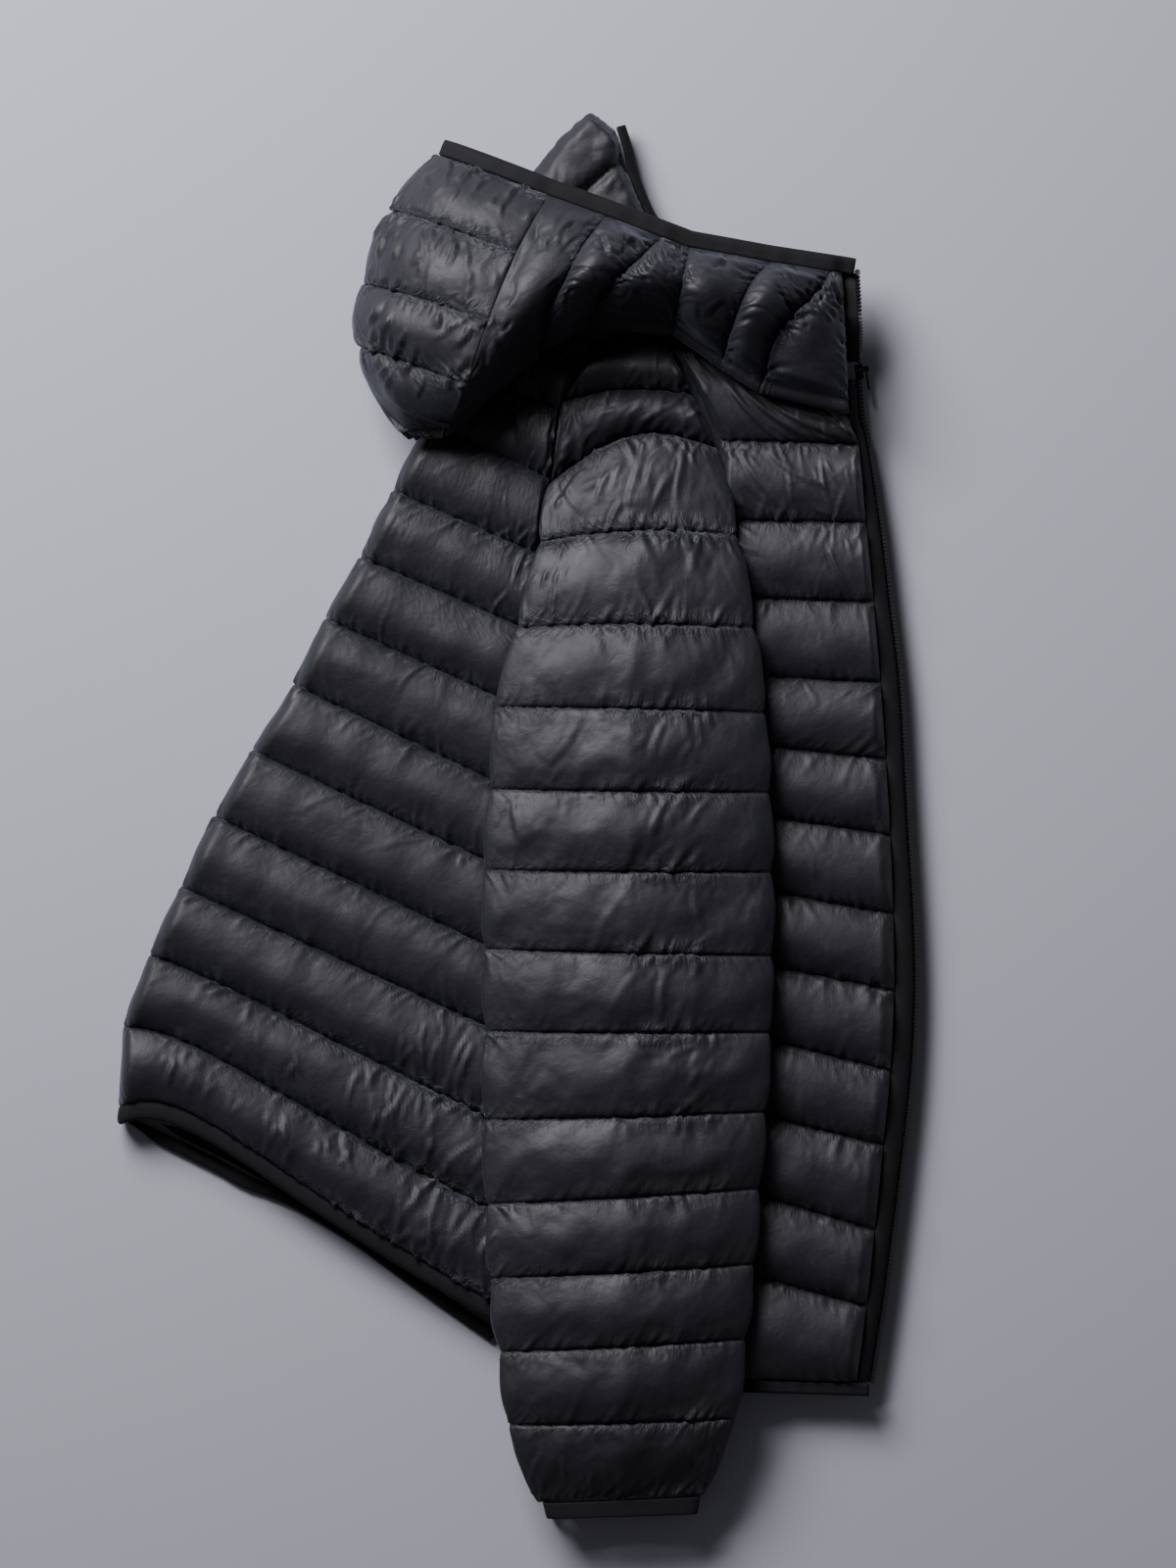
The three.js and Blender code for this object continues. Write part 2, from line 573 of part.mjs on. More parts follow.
function hoodSideRight() {
  const shares = [0, 0.1, 0.24, 0.4, 0.56, 0.72, 0.87, 1];
  const outer = [];
  const inner = [];
  const seam = 1.006;
  const front = hoodSections.length - 1;
  for (let s = 1; s < front; s += 1) {
    for (let k = 0; k < rowsPerChannel; k += 1) {
      const share = k / rowsPerChannel;
      outer.push(shares.map((t) => {
        const p = hoodPoint(Math.max(s + share, seam), t);
        p.z += hoodPuff * fullnessAt(share) * edgeShare(t);
        return p;
      }));
    }
    inner.push(shares.map((t) => hoodInside(Math.max(s, seam), t)));
  }
  outer.push(shares.map((t) => hoodPoint(front, t)));
  inner.push(shares.map((t) => hoodInside(front, t)));
  return wallGeometry(outer, inner);
}

function hoodCentre() {
  const shares = [0, 0.1, 0.25, 0.45, 0.7, 0.994];
  const outer = [];
  const inner = [];
  centreStripLines.forEach((line, i) => {
    const next = centreStripLines[i + 1];
    inner.push(shares.map((s) => hoodInside(s, line)));
    if (next === undefined) {
      outer.push(shares.map((s) => hoodPoint(s, line)));
      return;
    }
    for (let k = 0; k < rowsPerChannel; k += 1) {
      const share = k / rowsPerChannel;
      outer.push(shares.map((s) => {
        const p = hoodPoint(s, lerp(line, next, share));
        const puffed = centreStripPuff * fullnessAt(share) * (1 - 0.8 * smoothstep(s, 0.7, 1));
        p.x -= puffed * 0.5 * (1 - s);
        p.z += puffed * smoothstep(s, 0, 0.3);
        return p;
      }));
    }
  });
  return wallGeometry(outer, inner);
}

// Hidden layers inside the hood: they fill it below the near wall.
function hoodInner() {
  const shares = [0.08, 0.22, 0.4, 0.58, 0.76, 0.92];
  const lines = [0.5, 1, 2, 3, 4, 5, 6, 6.4];
  const layers = lines.map((s) => shares.map((t) => {
    const p = hoodInside(s, t);
    const room = s < 2 ? insideHood.underStrip : insideHood.underSide;
    p.z = Math.max(p.z - room, hoodFloor + insideHood.least);
    return p;
  }));
  const floor = layers.map((row) => row.map((p) => p.clone().setZ(hoodFloor)));
  return wallGeometry(layers, floor);
}

function hoodLeft() {
  return layeredGeometry([...neckline, ...farHoodOutline], [
    { z: 0, inset: 3 }, { z: 3, inset: 0.6 }, { z: 11, inset: 0 }, { z: 13.5, inset: 2.2 },
    { z: 16, inset: 0 }, { z: 24, inset: 0.6 }, { z: farHoodTop, inset: 4.5 },
  ]);
}

function hoodBindingRight() {
  const lines = [0.3, 0.65, 1, 1.5, 2, 2.5, 3, 3.5, 4, 4.5, 5, 5.5, 6, 6.5, 7];
  const path = lines.map((s) => {
    const p = hoodPoint(s, 0);
    return new THREE.Vector3(p.x + 1.3, p.y + 4.75, p.z - 8);
  });
  return bandGeometry(path, bandSection(8.6, 8.4));
}

function hoodBindingLeft() {
  const path = [[65.4, 423.5], [69.0, 409.0], [72.4, 395.5], [78.2, 379.5], [86.4, 363.5], [100.0, 352.0]]
    .map(([x, y]) => new THREE.Vector3(x, y, 7));
  return bandGeometry(path, bandSection(8.0, 16));
}

// The zip: a tape beside each front edge, the chain on the outside of the fold between them.
const zipMiddle = 13.4;
const chainTop = { edgeX: 204.0, edgeY: slider.y - slider.length / 2 - seamGap, zipX: 210.9 };
const zipRows = [chainTop, ...frontSections];

function zipTape(topAtSeam, topAtChain) {
  const shares = [0, 0.5, 1];
  const face = (row, drop) => shares.map((t) => {
    const chainSide = row.zipX - chainThickness / 2 - seamGap;
    const x = lerp(row.edgeX + seamGap, chainSide, t);
    return new THREE.Vector3(x, row.edgeY, lerp(topAtSeam, topAtChain, t * t) - drop);
  });
  const top = zipRows.map((row) => face(row, 0));
  const underside = zipRows.map((row) => face(row, zipTapeThickness));
  return wallGeometry(top, underside);
}

function zipChain() {
  const underside = zipMiddle - chainWidth / 2;
  const path = zipRows.map((row) => new THREE.Vector3(row.zipX, row.edgeY, underside));
  return bandGeometry(path, bandSection(chainThickness, chainWidth));
}

// Above the slider the near half of the zip follows the hood's front edge, a little below it.
const openZip = { start: 18, belowEdge: 8, tapeOut: 4.0, tapeWidth: 7.2, teethOut: 9.3, teethHigh: 3 };
const stopSize = { radius: 1.8, length: 4.4, beyondTeeth: 2.7 };

function openZipPath(out) {
  const front = hoodSections.length - 1;
  return [0.66, 0.5, 0.34, 0.18, 0.02].map((t) => {
    const p = hoodPoint(front, t);
    const z = lerp(openZip.start, p.z - openZip.belowEdge, smoothstep(1 - t, 0.3, 0.7));
    return new THREE.Vector3(p.x + out, p.y, z);
  });
}

function openZipTape() {
  return bandGeometry(openZipPath(openZip.tapeOut), bandSection(openZip.tapeWidth, zipTapeThickness));
}

function openZipTeeth() {
  return bandGeometry(openZipPath(openZip.teethOut), bandSection(chainThickness, openZip.teethHigh));
}

function topStop() {
  const end = openZipPath(openZip.teethOut).pop();
  const stop = new THREE.CylinderGeometry(stopSize.radius, stopSize.radius, stopSize.length, 12);
  stop.rotateX(Math.PI / 2);
  stop.translate(end.x, end.y + stopSize.beyondTeeth, end.z + openZip.teethHigh / 2);
  return stop;
}

// A closed geometry as a solid that can be joined to another.
function solidOf(geometry) {
  const bare = geometry.clone();
  bare.deleteAttribute('normal');
  bare.deleteAttribute('uv');
  const merged = mergeVertices(bare.index ? bare.toNonIndexed() : bare, 1e-5);
  return new wasm.Manifold(new wasm.Mesh({
    numProp: 3,
    vertProperties: new Float32Array(merged.attributes.position.array),
    triVerts: new Uint32Array(merged.index.array),
  }));
}

function joined(...geometries) {
  const mesh = geometries.map(solidOf).reduce((whole, solid) => whole.add(solid)).getMesh();
  const geometry = new THREE.BufferGeometry();
  geometry.setAttribute('position', new THREE.Float32BufferAttribute(mesh.vertProperties, 3));
  geometry.setIndex([...mesh.triVerts]);
  geometry.computeVertexNormals();
  return geometry;
}

// Drawn at the slider's middle: the chain runs along -Y and its outer face looks to +X.
const pinX = slider.thickness / 2 + pin.fromFace;
const pinY = 1.2;

function sliderBody() {
  const half = slider.width / 2;
  const long = slider.length / 2;
  const outline = new THREE.Shape([
    new THREE.Vector2(-long, -half + 0.9), new THREE.Vector2(0.5, -half),
    new THREE.Vector2(long, -half + 1.6), new THREE.Vector2(long, half - 1.6),
    new THREE.Vector2(0.5, half), new THREE.Vector2(-long, half - 0.9),
  ]);
  const plate = new THREE.ExtrudeGeometry(outline, { depth: slider.thickness, bevelEnabled: false });
  plate.translate(0, 0, -slider.thickness / 2);
  plate.rotateZ(Math.PI / 2);
  plate.rotateY(Math.PI / 2);
  const lugZ = pullTab.width / 2 + pin.clearance + lug.thickness / 2;
  const lugs = [-lugZ, lugZ].map((z) => {
    const box = new THREE.BoxGeometry(lug.reach + 0.6, lug.length, lug.thickness);
    box.translate(slider.thickness / 2 + (lug.reach - 0.6) / 2, pinY, z);
    return box;
  });
  const rod = new THREE.CylinderGeometry(pin.radius, pin.radius, 2 * lugZ, 16);
  rod.rotateX(Math.PI / 2);
  rod.translate(pinX, pinY, 0);
  return joined(plate, ...lugs, rod);
}

// The tab hangs down the chain from the eye round its pin.
function pullTabGeometry() {
  const half = pullTab.thickness / 2;
  const outline = new THREE.Shape();
  const spread = Math.asin(half / pullTab.eyeRadius);
  outline.absarc(0, 0, pullTab.eyeRadius, -Math.PI / 2 + spread, 1.5 * Math.PI - spread, false);
  outline.lineTo(-half, -pullTab.length);
  outline.lineTo(half, -pullTab.length);
  const eye = new THREE.Path();
  eye.absarc(0, 0, pin.radius + pin.clearance, 0, 2 * Math.PI, true);
  outline.holes.push(eye);
  const tab = new THREE.ExtrudeGeometry(outline, {
    depth: pullTab.width, bevelEnabled: false, curveSegments: 14,
  });
  tab.translate(0, 0, -pullTab.width / 2);
  return tab;
}

const jacket = new THREE.Group();

function addPiece(name, geometry, material, parent = jacket) {
  const mesh = new THREE.Mesh(geometry, new THREE.MeshStandardMaterial(material));
  mesh.name = name;
  parent.add(mesh);
  return mesh;
}

const nylon = { color: 0x18181c, roughness: 0.42, metalness: 0 };
const elastic = { color: 0x121214, roughness: 0.8, metalness: 0 };
const tape = { color: 0x141416, roughness: 0.85, metalness: 0 };
const teeth = { color: 0x1b1b1e, roughness: 0.45, metalness: 0 };
const metal = { color: 0x2a2a2d, roughness: 0.35, metalness: 1 };
const paleMetal = { color: 0xb8b8bc, roughness: 0.3, metalness: 1 };

addPiece('left_half', leftHalf(), nylon);
addPiece('back_right', backRight(), nylon);
addPiece('front_right', frontRight(), nylon);
addPiece('shoulder_right', shoulderRight(), nylon);
addPiece('sleeve_right', sleeveRight(), nylon);
addPiece('cuff_right', cuffGeometry(cuff.nearUnder, cuff.nearHeight), elastic);
addPiece('cuff_left', cuffGeometry(0, cuff.farHeight), elastic);
addPiece('hem_binding_back', hemBindingBack(), elastic);
addPiece('hem_binding_front', hemBindingFront(), elastic);
addPiece('hem_binding_left', hemBindingLeft(), elastic);
addPiece('hood_side_right', hoodSideRight(), nylon);
addPiece('hood_centre', hoodCentre(), nylon);
addPiece('hood_inner', hoodInner(), nylon);
addPiece('hood_left', hoodLeft(), nylon);
addPiece('hood_binding_right', hoodBindingRight(), elastic);
addPiece('hood_binding_left', hoodBindingLeft(), elastic);
addPiece('zip_tape_right', zipTape(seamTop, zipMiddle + 2.2), tape);
addPiece('zip_tape_left', zipTape(5.2, zipMiddle - 0.6), tape);
addPiece('zip_chain', zipChain(), teeth);
addPiece('zip_tape_open', openZipTape(), tape);
addPiece('zip_teeth_open', openZipTeeth(), teeth);
addPiece('zip_top_stop', topStop(), paleMetal);

const sliderPlace = new THREE.Group();
sliderPlace.position.set(slider.x, slider.y, zipMiddle);
sliderPlace.rotation.z = degToRad(slider.lean);
jacket.add(sliderPlace);
addPiece('zip_slider', sliderBody(), metal, sliderPlace);
addPiece('zip_pull', pullTabGeometry(), metal, sliderPlace).position.set(pinX, pinY, 0);

// The origin is under the middle of the whole jacket, on the surface that it lies on.
const middle = new THREE.Box3().setFromObject(jacket, true).getCenter(new THREE.Vector3());
jacket.position.set(-middle.x, -middle.y, 0);

export default jacket;
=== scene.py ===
import math
import bmesh
import bpy
import numpy as np
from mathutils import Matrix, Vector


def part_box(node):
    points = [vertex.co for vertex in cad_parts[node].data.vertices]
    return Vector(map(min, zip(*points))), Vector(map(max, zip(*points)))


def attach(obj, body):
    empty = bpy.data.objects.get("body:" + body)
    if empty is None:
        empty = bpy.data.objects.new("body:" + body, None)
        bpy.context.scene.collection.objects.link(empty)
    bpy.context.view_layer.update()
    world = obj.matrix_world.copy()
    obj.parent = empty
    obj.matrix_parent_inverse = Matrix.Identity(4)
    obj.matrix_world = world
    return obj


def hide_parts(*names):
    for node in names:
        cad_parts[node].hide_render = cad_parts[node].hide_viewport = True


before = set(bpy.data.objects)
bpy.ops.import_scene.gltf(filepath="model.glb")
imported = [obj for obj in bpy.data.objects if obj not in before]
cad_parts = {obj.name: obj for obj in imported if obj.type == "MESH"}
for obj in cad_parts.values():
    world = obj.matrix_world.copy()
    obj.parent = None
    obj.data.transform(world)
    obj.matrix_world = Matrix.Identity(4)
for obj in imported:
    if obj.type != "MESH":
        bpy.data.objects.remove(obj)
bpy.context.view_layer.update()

# A light hooded puffer jacket, folded in half down its back and laid flat.
# Lengths are millimetres until a mesh is made; the frame is in metres.
toMetres = 0.001
cuffCorner = (16.3, -431.5)  # lower left corner of the cuffs in the tables below
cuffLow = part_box("cuff_right")[0]
tableShift = np.array([cuffLow[0] * 1000 - cuffCorner[0], cuffLow[1] * 1000 - cuffCorner[1], 0.0])

# The photo in pixels; zeroX and zeroY are the pixel where the tables below have their origin
photo = {"width": 1200, "height": 1600, "mmPerPixel": 0.6, "zeroX": 526.5, "zeroY": 830.5}
body = {
    "seamTop": 22.6,  # top of the near half at a stitch line
    "underside": 19.7,  # its plain inside
    "foldAcross": 7.5,  # the fold's round, sideways
    "foldUp": 11.4,  # and from its middle to its top
    "foldWall": 4.2,
    "foldStart": -58,  # where a row starts below the fold, degrees
    "foldBulge": 0.14,  # how much of a puff goes out at the fold
    "loft": 11.8,  # height of a puff above its stitch lines
    "pressedLoft": 2.6,  # what is left of it under the sleeve and the hood
    "roundness": 0.6,  # 0.5 is a full puff, 1 a slack one
    "hoodLoft": 13.5,
    "stripLoft": 10.5,
    "seamFull": 0.8,  # how full the hood is where its strip and side meet
    "hoodCrest": 0.72,  # below 1, so its puffs are fullest nearer their first line
    "rowsPerChannel": 16,
    "crowding": 0.55,  # how much closer the rows come at a stitch line
    "lowest": 0.4,  # no quilted face comes nearer to the table
    "fill": 0.55,
}

# Stitch lines of the back: fold x y, side x y, bow
backLines = np.array([
    (-20.7, 305.1, 46.0, 290.7, 0), (-37.5, 272.7, 25.0, 247.5, 0), (-54.9, 239.7, 20.1, 206.1, 0),
    (-75.3, 198.3, 15.3, 158.7, 0), (-95.1, 157.5, 9.0, 112.5, 0), (-116.7, 119.7, 68.1, 36.3, 0),
    (-135.9, 79.5, 68.1, -19.5, 0), (-161.7, 38.7, 68.1, -68.7, 0), (-184.5, -1.5, 68.1, -121.5, 0),
    (-205.5, -44.7, 68.1, -168.9, 0), (-224.7, -86.7, 68.1, -226.5, 3),
    (-240.9, -130.5, 68.1, -284.7, 10), (-243.3, -180.3, 68.1, -344.7, 20),
], float)

# Stitch lines of the front: side x y, edge x y, zip x
frontLines = np.array([
    (96.0, 287.1, 202.5, 243.9, 212.9), (126.0, 228.9, 210.1, 227.1, 216.9),
    (124.0, 180.3, 214.5, 178.5, 224.7), (120.9, 132.9, 219.3, 129.9, 230.7),
    (125.1, 85.5, 223.5, 80.7, 236.7), (69.1, 51.3, 226.7, 33.3, 239.5),
    (69.1, 11.7, 229.5, -12.9, 242.1), (69.1, -32.1, 231.3, -61.5, 245.1),
    (69.1, -75.9, 232.0, -108.3, 246.3), (69.1, -116.7, 229.7, -157.5, 243.9),
    (69.1, -164.7, 225.1, -203.1, 239.1), (69.1, -209.7, 219.9, -255.3, 232.6),
    (69.1, -263.7, 214.9, -301.5, 226.3), (69.1, -344.7, 208.6, -348.9, 218.6),
], float)

# Lines of the shoulder: back x y, front x y, arch
shoulderLines = np.array([
    (50.3, 285.9, 92.5, 287.1, 9), (28.2, 253.5, 107.7, 257.1, 5), (21.3, 203.5, 122.1, 225.1, 18),
], float)

# Stitch lines of the sleeve: back x y, front x y, arch, underside, height
sleeveLines = np.array([
    (21.3, 202.75, 122.1, 224.35, 18, 20.6, 16), (15.9, 166.5, 134.1, 170.1, 5, 26.2, 28),
    (2.1, 113.7, 144.3, 113.7, 2, 26.2, 37), (-11.7, 65.1, 150.9, 61.5, 1, 26.2, 42),
    (-14.1, 14.7, 153.9, 12.9, 0, 26.2, 43), (-17.7, -34.5, 155.1, -35.7, 0, 26.2, 43),
    (-17.7, -82.5, 155.1, -86.7, 0, 26.2, 43), (-17.1, -132.9, 153.9, -133.5, 0, 26.2, 42),
    (-17.7, -186.9, 150.9, -182.1, 0, 26.2, 41), (-16.5, -238.5, 147.3, -228.9, 0, 26.2, 40),
    (-14.1, -283.5, 144.3, -275.1, 0, 26.2, 39), (-8.7, -328.5, 138.9, -320.7, 0, 26.2, 38),
    (-3.3, -373.5, 133.5, -369.3, 0, 24.2, 35), (13.5, -421.5, 113.7, -417.3, 0, 20.4, 20),
], float)

# Lines over the hood, opening to rim: points, top beside the opening, top at the rim, rise
hoodLines = [
    ([(-48.3, 403.5), (-75.1, 369.5), (-90.7, 323.9), (-94.3, 285.5), (-70.3, 232.7)], 26, 47, -10),
    ([(20.1, 376.5), (0.9, 339.9), (-15.9, 298.5), (-29.1, 260.1), (-40.0, 236.0)], 56, 51, 34),
    ([(54.9, 363.9), (41.9, 345.7), (31.7, 326.5), (22.1, 306.5), (16.1, 286.9)], 57, 50, 38),
    ([(88.7, 351.3), (75.5, 337.1), (62.9, 325.1), (51.5, 314.9), (46.1, 302.3)], 55, 49, 37),
    ([(105.3, 345.3), (96.9, 297.9)], 52, 48, 33),
    ([(155.3, 336.5), (144.5, 324.5), (136.7, 309.5), (130.7, 293.3), (126.5, 277.7)], 48, 47, 28),
    ([(192.5, 331.1), (181.1, 315.5), (167.9, 302.9), (156.5, 287.9), (149.9, 262.7)], 44, 47, 20),
    ([(199.5, 330.3), (203.0, 250.3)], 40, 47, 8),
]
centreStripLines = [0, 0.25, 0.5, 0.75, 1]


def smooth(x, low, high):
    t = np.clip((np.asarray(x, float) - low) / (high - low), 0, 1)
    return t * t * (3 - 2 * t)


def mix(a, b, t):
    return a + (b - a) * t


def toScene(points):
    return (points + tableShift) * toMetres


def fromScene(points):
    return points / toMetres - tableShift


def fromPhoto(x, y):
    # a place in the photo's pixels as millimetres of the tables above
    scale = photo["mmPerPixel"]
    return (np.asarray(x) - photo["zeroX"]) * scale, (photo["zeroY"] - np.asarray(y)) * scale


def lengthAlong(grid):
    # millimetres from the start of each row
    step = np.linalg.norm(np.diff(grid, axis=1), axis=2)
    return np.concatenate([np.zeros((len(grid), 1)), np.cumsum(step, axis=1)], axis=1)


def addPiece(name, data):
    piece = bpy.data.objects.new(name, data)
    bpy.context.collection.objects.link(piece)
    return piece


def placesAlong(channels):
    # row positions counted in channels, closer together at the stitch lines
    u = np.arange(body["rowsPerChannel"]) / body["rowsPerChannel"]
    within = u - body["crowding"] * np.sin(2 * np.pi * u) / (2 * np.pi)
    places = (np.arange(channels)[:, None] + within[None, :]).reshape(-1)
    return np.append(places, channels)


def rowsAt(lines, places):
    first = np.minimum(places.astype(int), len(lines) - 2)
    return lines[first] + (lines[first + 1] - lines[first]) * (places - first)[:, None]


def fullness(places, crest=1.0):
    # crest below 1 moves the highest part towards the first line of each channel
    return np.clip(np.sin(np.pi * (places % 1.0) ** crest), 0, 1)[:, None] ** body["roundness"]


def edgeShare(t, near=0.1, far=0.09, low=0.3):
    return low + (1 - low) * smooth(t, 0, near) * (1 - smooth(t, 1 - far, 1))


def lineOnBack(rows, t):
    # the bow is fullest a fifth of the way from the fold
    early = np.where(t < 1, (t / 0.2) * np.exp(1 - t / 0.2) * (1 - t) * 1.22, 0)
    x = mix(rows[:, 0:1], rows[:, 2:3], t)
    y = mix(rows[:, 1:2], rows[:, 3:4], t) + rows[:, 4:5] * early
    return x, y


def lineOnFront(rows, t):
    return mix(rows[:, 0:1], rows[:, 2:3], t), mix(rows[:, 1:2], rows[:, 3:4], t)


def lineAcross(rows, t):
    x = mix(rows[:, 0:1], rows[:, 2:3], t)
    y = mix(rows[:, 1:2], rows[:, 3:4], t) + rows[:, 4:5] * np.sin(np.pi * t)
    return x, y


def freeOfSleeve(x, y):
    # 0 under the sleeve, 1 well clear of it
    ys = sleeveLines[::-1, 1]
    left = np.interp(y, ys, sleeveLines[::-1, 0])
    right = np.interp(y, ys, sleeveLines[::-1, 2])
    outside = np.maximum(left - x, x - right)
    return np.where(y > sleeveLines[0, 3] + 4, 1.0, smooth(outside, -13, 3))


def freeOfHood(x, y):
    rim = np.where(x < 0, 262.0, 300.0)
    return 1 - smooth((y - rim + 45) / 45, 0, 1)


def bodyLoft(x, y):
    return mix(body["pressedLoft"], body["loft"], freeOfSleeve(x, y) * freeOfHood(x, y))


def backGrid(rows, full=None, foldSteps=13, columns=90):
    # a row comes up round the fold and runs flat to the side; without full it is the plain inside
    outer = full is not None
    length = np.hypot(rows[:, 2] - rows[:, 0], rows[:, 3] - rows[:, 1])[:, None]
    angle = np.radians(np.linspace(body["foldStart"], 90, foldSteps))[None, :]
    reach = body["foldAcross"] - (0 if outer else body["foldWall"])
    centre = body["seamTop"] - body["foldUp"]
    rise = body["foldUp"] if outer else body["underside"] - centre
    start = 0 if outer else body["foldWall"]
    foldX, foldY = lineOnBack(rows, np.zeros((len(rows), 1)))
    puffed = bodyLoft(foldX, foldY) * full * np.clip((angle + 1.1) / 1.4, 0.1, 1) if outer else 0
    sideways = start + reach * (1 - np.cos(angle)) - body["foldBulge"] * puffed * np.cos(angle)
    x, y = lineOnBack(rows, sideways / length)
    z = centre + (rise + puffed) * np.sin(angle) + 0 * x
    share = np.linspace(0, 1, columns + 1)[None, 1:]
    afterFold = body["foldAcross"] / length
    xFlat, yFlat = lineOnBack(rows, mix(afterFold, 1, share))
    flatTop = np.full_like(xFlat, body["underside"])
    if outer:
        beside = mix(0.75, 0.3, smooth(yFlat, 195, 215))  # softer where it meets the shoulder
        flatTop = body["seamTop"] + bodyLoft(xFlat, yFlat) * full * (1 - beside * smooth(share, 0.94, 1))
    return np.stack([np.hstack([x, xFlat]), np.hstack([y, yFlat]), np.hstack([z, flatTop])], axis=2)


def panelGrid(rows, lineAt, t, full=None, loft=None):
    # a flat panel between two seams: quilted where it has a loft, else its plain inside
    t = np.broadcast_to(t, (len(rows), len(t)))
    x, y = lineAt(rows, t)
    if full is None:
        return np.stack([x, y, np.full_like(x, body["underside"])], axis=2)
    return np.stack([x, y, body["seamTop"] + loft(x, y, t) * full], axis=2)


def shoulderLoft(x, y, t):
    return mix(body["loft"] + 2, 7, smooth(y, 270, 292)) * edgeShare(t, 0.05, 0.05, 0.7)


sleeveShape = {
    "middle": 0.42,  # height of its widest level, as a share of its thickness
    "insideWidth": 0.8,
    "insideRise": 1.5,
    "ridge": 0.68,  # how far its top is pressed to a soft ridge along the middle
    "puff": 0.8,  # its loft as a share of the body's
    "sideways": 0.45,  # how much of a puff goes out at its sides
}


def sleeveGrid(rows, around, full=None):
    # without full it is the plain inside
    angle = (2 * np.pi * np.arange(around) / around)[None, :]
    rise, across = np.sin(angle), np.cos(angle)
    centre = rows[:, 5:6] + rows[:, 6:7] * sleeveShape["middle"]
    if full is None:
        x, y = lineAcross(rows, 0.5 + 0.5 * across * sleeveShape["insideWidth"] + 0 * centre)
        return np.stack([x, y, centre + sleeveShape["insideRise"] * rise], axis=2)
    ridge = (1 - np.abs(across) ** 1.12) ** 0.9
    up = np.where(rise > 0, mix(np.abs(rise) ** 0.8, ridge, sleeveShape["ridge"]), -np.abs(rise) ** 0.38)
    puff = body["loft"] * sleeveShape["puff"]
    puffed = puff * full * smooth(rise, -0.45, 0.25)
    reach = np.where(rise > 0, rows[:, 5:6] + rows[:, 6:7] - centre - puff, centre - rows[:, 5:6])
    x, y = lineAcross(rows, 0.5 + 0.5 * across + 0 * centre)
    x = x + across * puffed * sleeveShape["sideways"]
    return np.stack([x, y, centre + reach * up + puffed * np.maximum(rise, 0)], axis=2)


def curveThrough(points, t):
    # Catmull-Rom through the points, t from 0 to 1
    p = np.array(points, float)
    p = np.vstack([2 * p[0] - p[1], p, 2 * p[-1] - p[-2]])
    place = np.asarray(t) * (len(points) - 1)
    k = np.minimum(place.astype(int), len(points) - 2)
    f = (place - k)[..., None]
    a, b, c, d = p[k], p[k + 1], p[k + 2], p[k + 3]
    return 0.5 * (2 * b + (c - a) * f + (2 * a - 5 * b + 4 * c - d) * f**2
                  + (3 * b - a - 3 * c + d) * f**3)


def hoodLine(line, t):
    points, openTop, rimTop, rise = line
    xy = curveThrough(points, t) if len(points) > 2 else mix(
        np.array(points[0]), np.array(points[1]), t[..., None])
    z = mix(openTop, rimTop, t) + rise * np.sin(np.pi * t)
    return np.concatenate([xy, z[..., None]], axis=-1)


def hoodGrid(s, t):
    # the hood's top face at places s along hoodLines and t from the opening to the rim
    grid = []
    for place in s:
        first = min(int(place), len(hoodLines) - 2)
        share = place - first
        start = hoodLine(hoodLines[first], t)
        end = hoodLine(hoodLines[first + 1], t)
        row = mix(start, end, share)
        if first == 0:
            row[:, 2] = mix(start[:, 2], end[:, 2], math.sqrt(1 - (1 - share) ** 2))
        grid.append(row)
    return np.array(grid)


hood = {
    "wall": 13.0,
    "lowest": 31.0,
    "firstInside": 0.12,  # where its inside starts, in channels
    "stripEnd": 0.9999,  # the strip and the side stop just short of the line that they share
    "sideStart": 1.0001,
}


def hoodInside(s, t):
    p = hoodGrid(s, t)
    inner = hoodGrid(np.maximum(s, hood["firstInside"]), t)
    inner[..., 2] = np.maximum(inner[..., 2] - hood["wall"], hood["lowest"])
    for i, place in enumerate(s):
        if place < hood["firstInside"]:
            inner[i, :, 0] = mix(p[i, :, 0], inner[i, :, 0], 0.9)
            inner[i, :, 2] = np.minimum(inner[i, :, 2], p[i, :, 2] - 3)
    return inner


def meshFromGrid(name, grid, wrap=False):
    nv, nu = grid.shape[:2]
    verts = toScene(grid.reshape(-1, 3))
    spans = nu if wrap else nu - 1
    r, c = np.meshgrid(np.arange(nv - 1), np.arange(spans), indexing="ij")
    a = r * nu + c
    b = r * nu + (c + 1) % nu
    faces = np.stack([a, a + nu, b + nu, b], axis=2).reshape(-1, 4)
    mesh = bpy.data.meshes.new(name)
    mesh.from_pydata(verts.tolist(), [], faces.tolist())
    mesh.update()
    return addPiece(name, mesh)


cloth = {
    "frames": 20,
    "pressure": 3.0,
    "kept": 0.8,  # how much of the motion is kept
    "keptOnSleeve": 0.4,
    "farthest": 4.0,  # no point moves more than this, mm
    "unevenness": 0.05,  # how rough the cloth is before it is blown up, mm
    "solver": {"quality": 5, "mass": 0.15, "tension_stiffness": 15, "compression_stiffness": 15,
               "shear_stiffness": 5, "bending_stiffness": 0.4, "tension_damping": 5,
               "compression_damping": 5, "air_damping": 1},
}
waiting = {}  # panels laid out for the one cloth run


def stitchRows(places, columns, sides):
    held = np.zeros((len(places), columns), bool)
    held[places % 1.0 < 1e-6] = True
    if sides:
        held[:, [0, -1]] = True
    return held


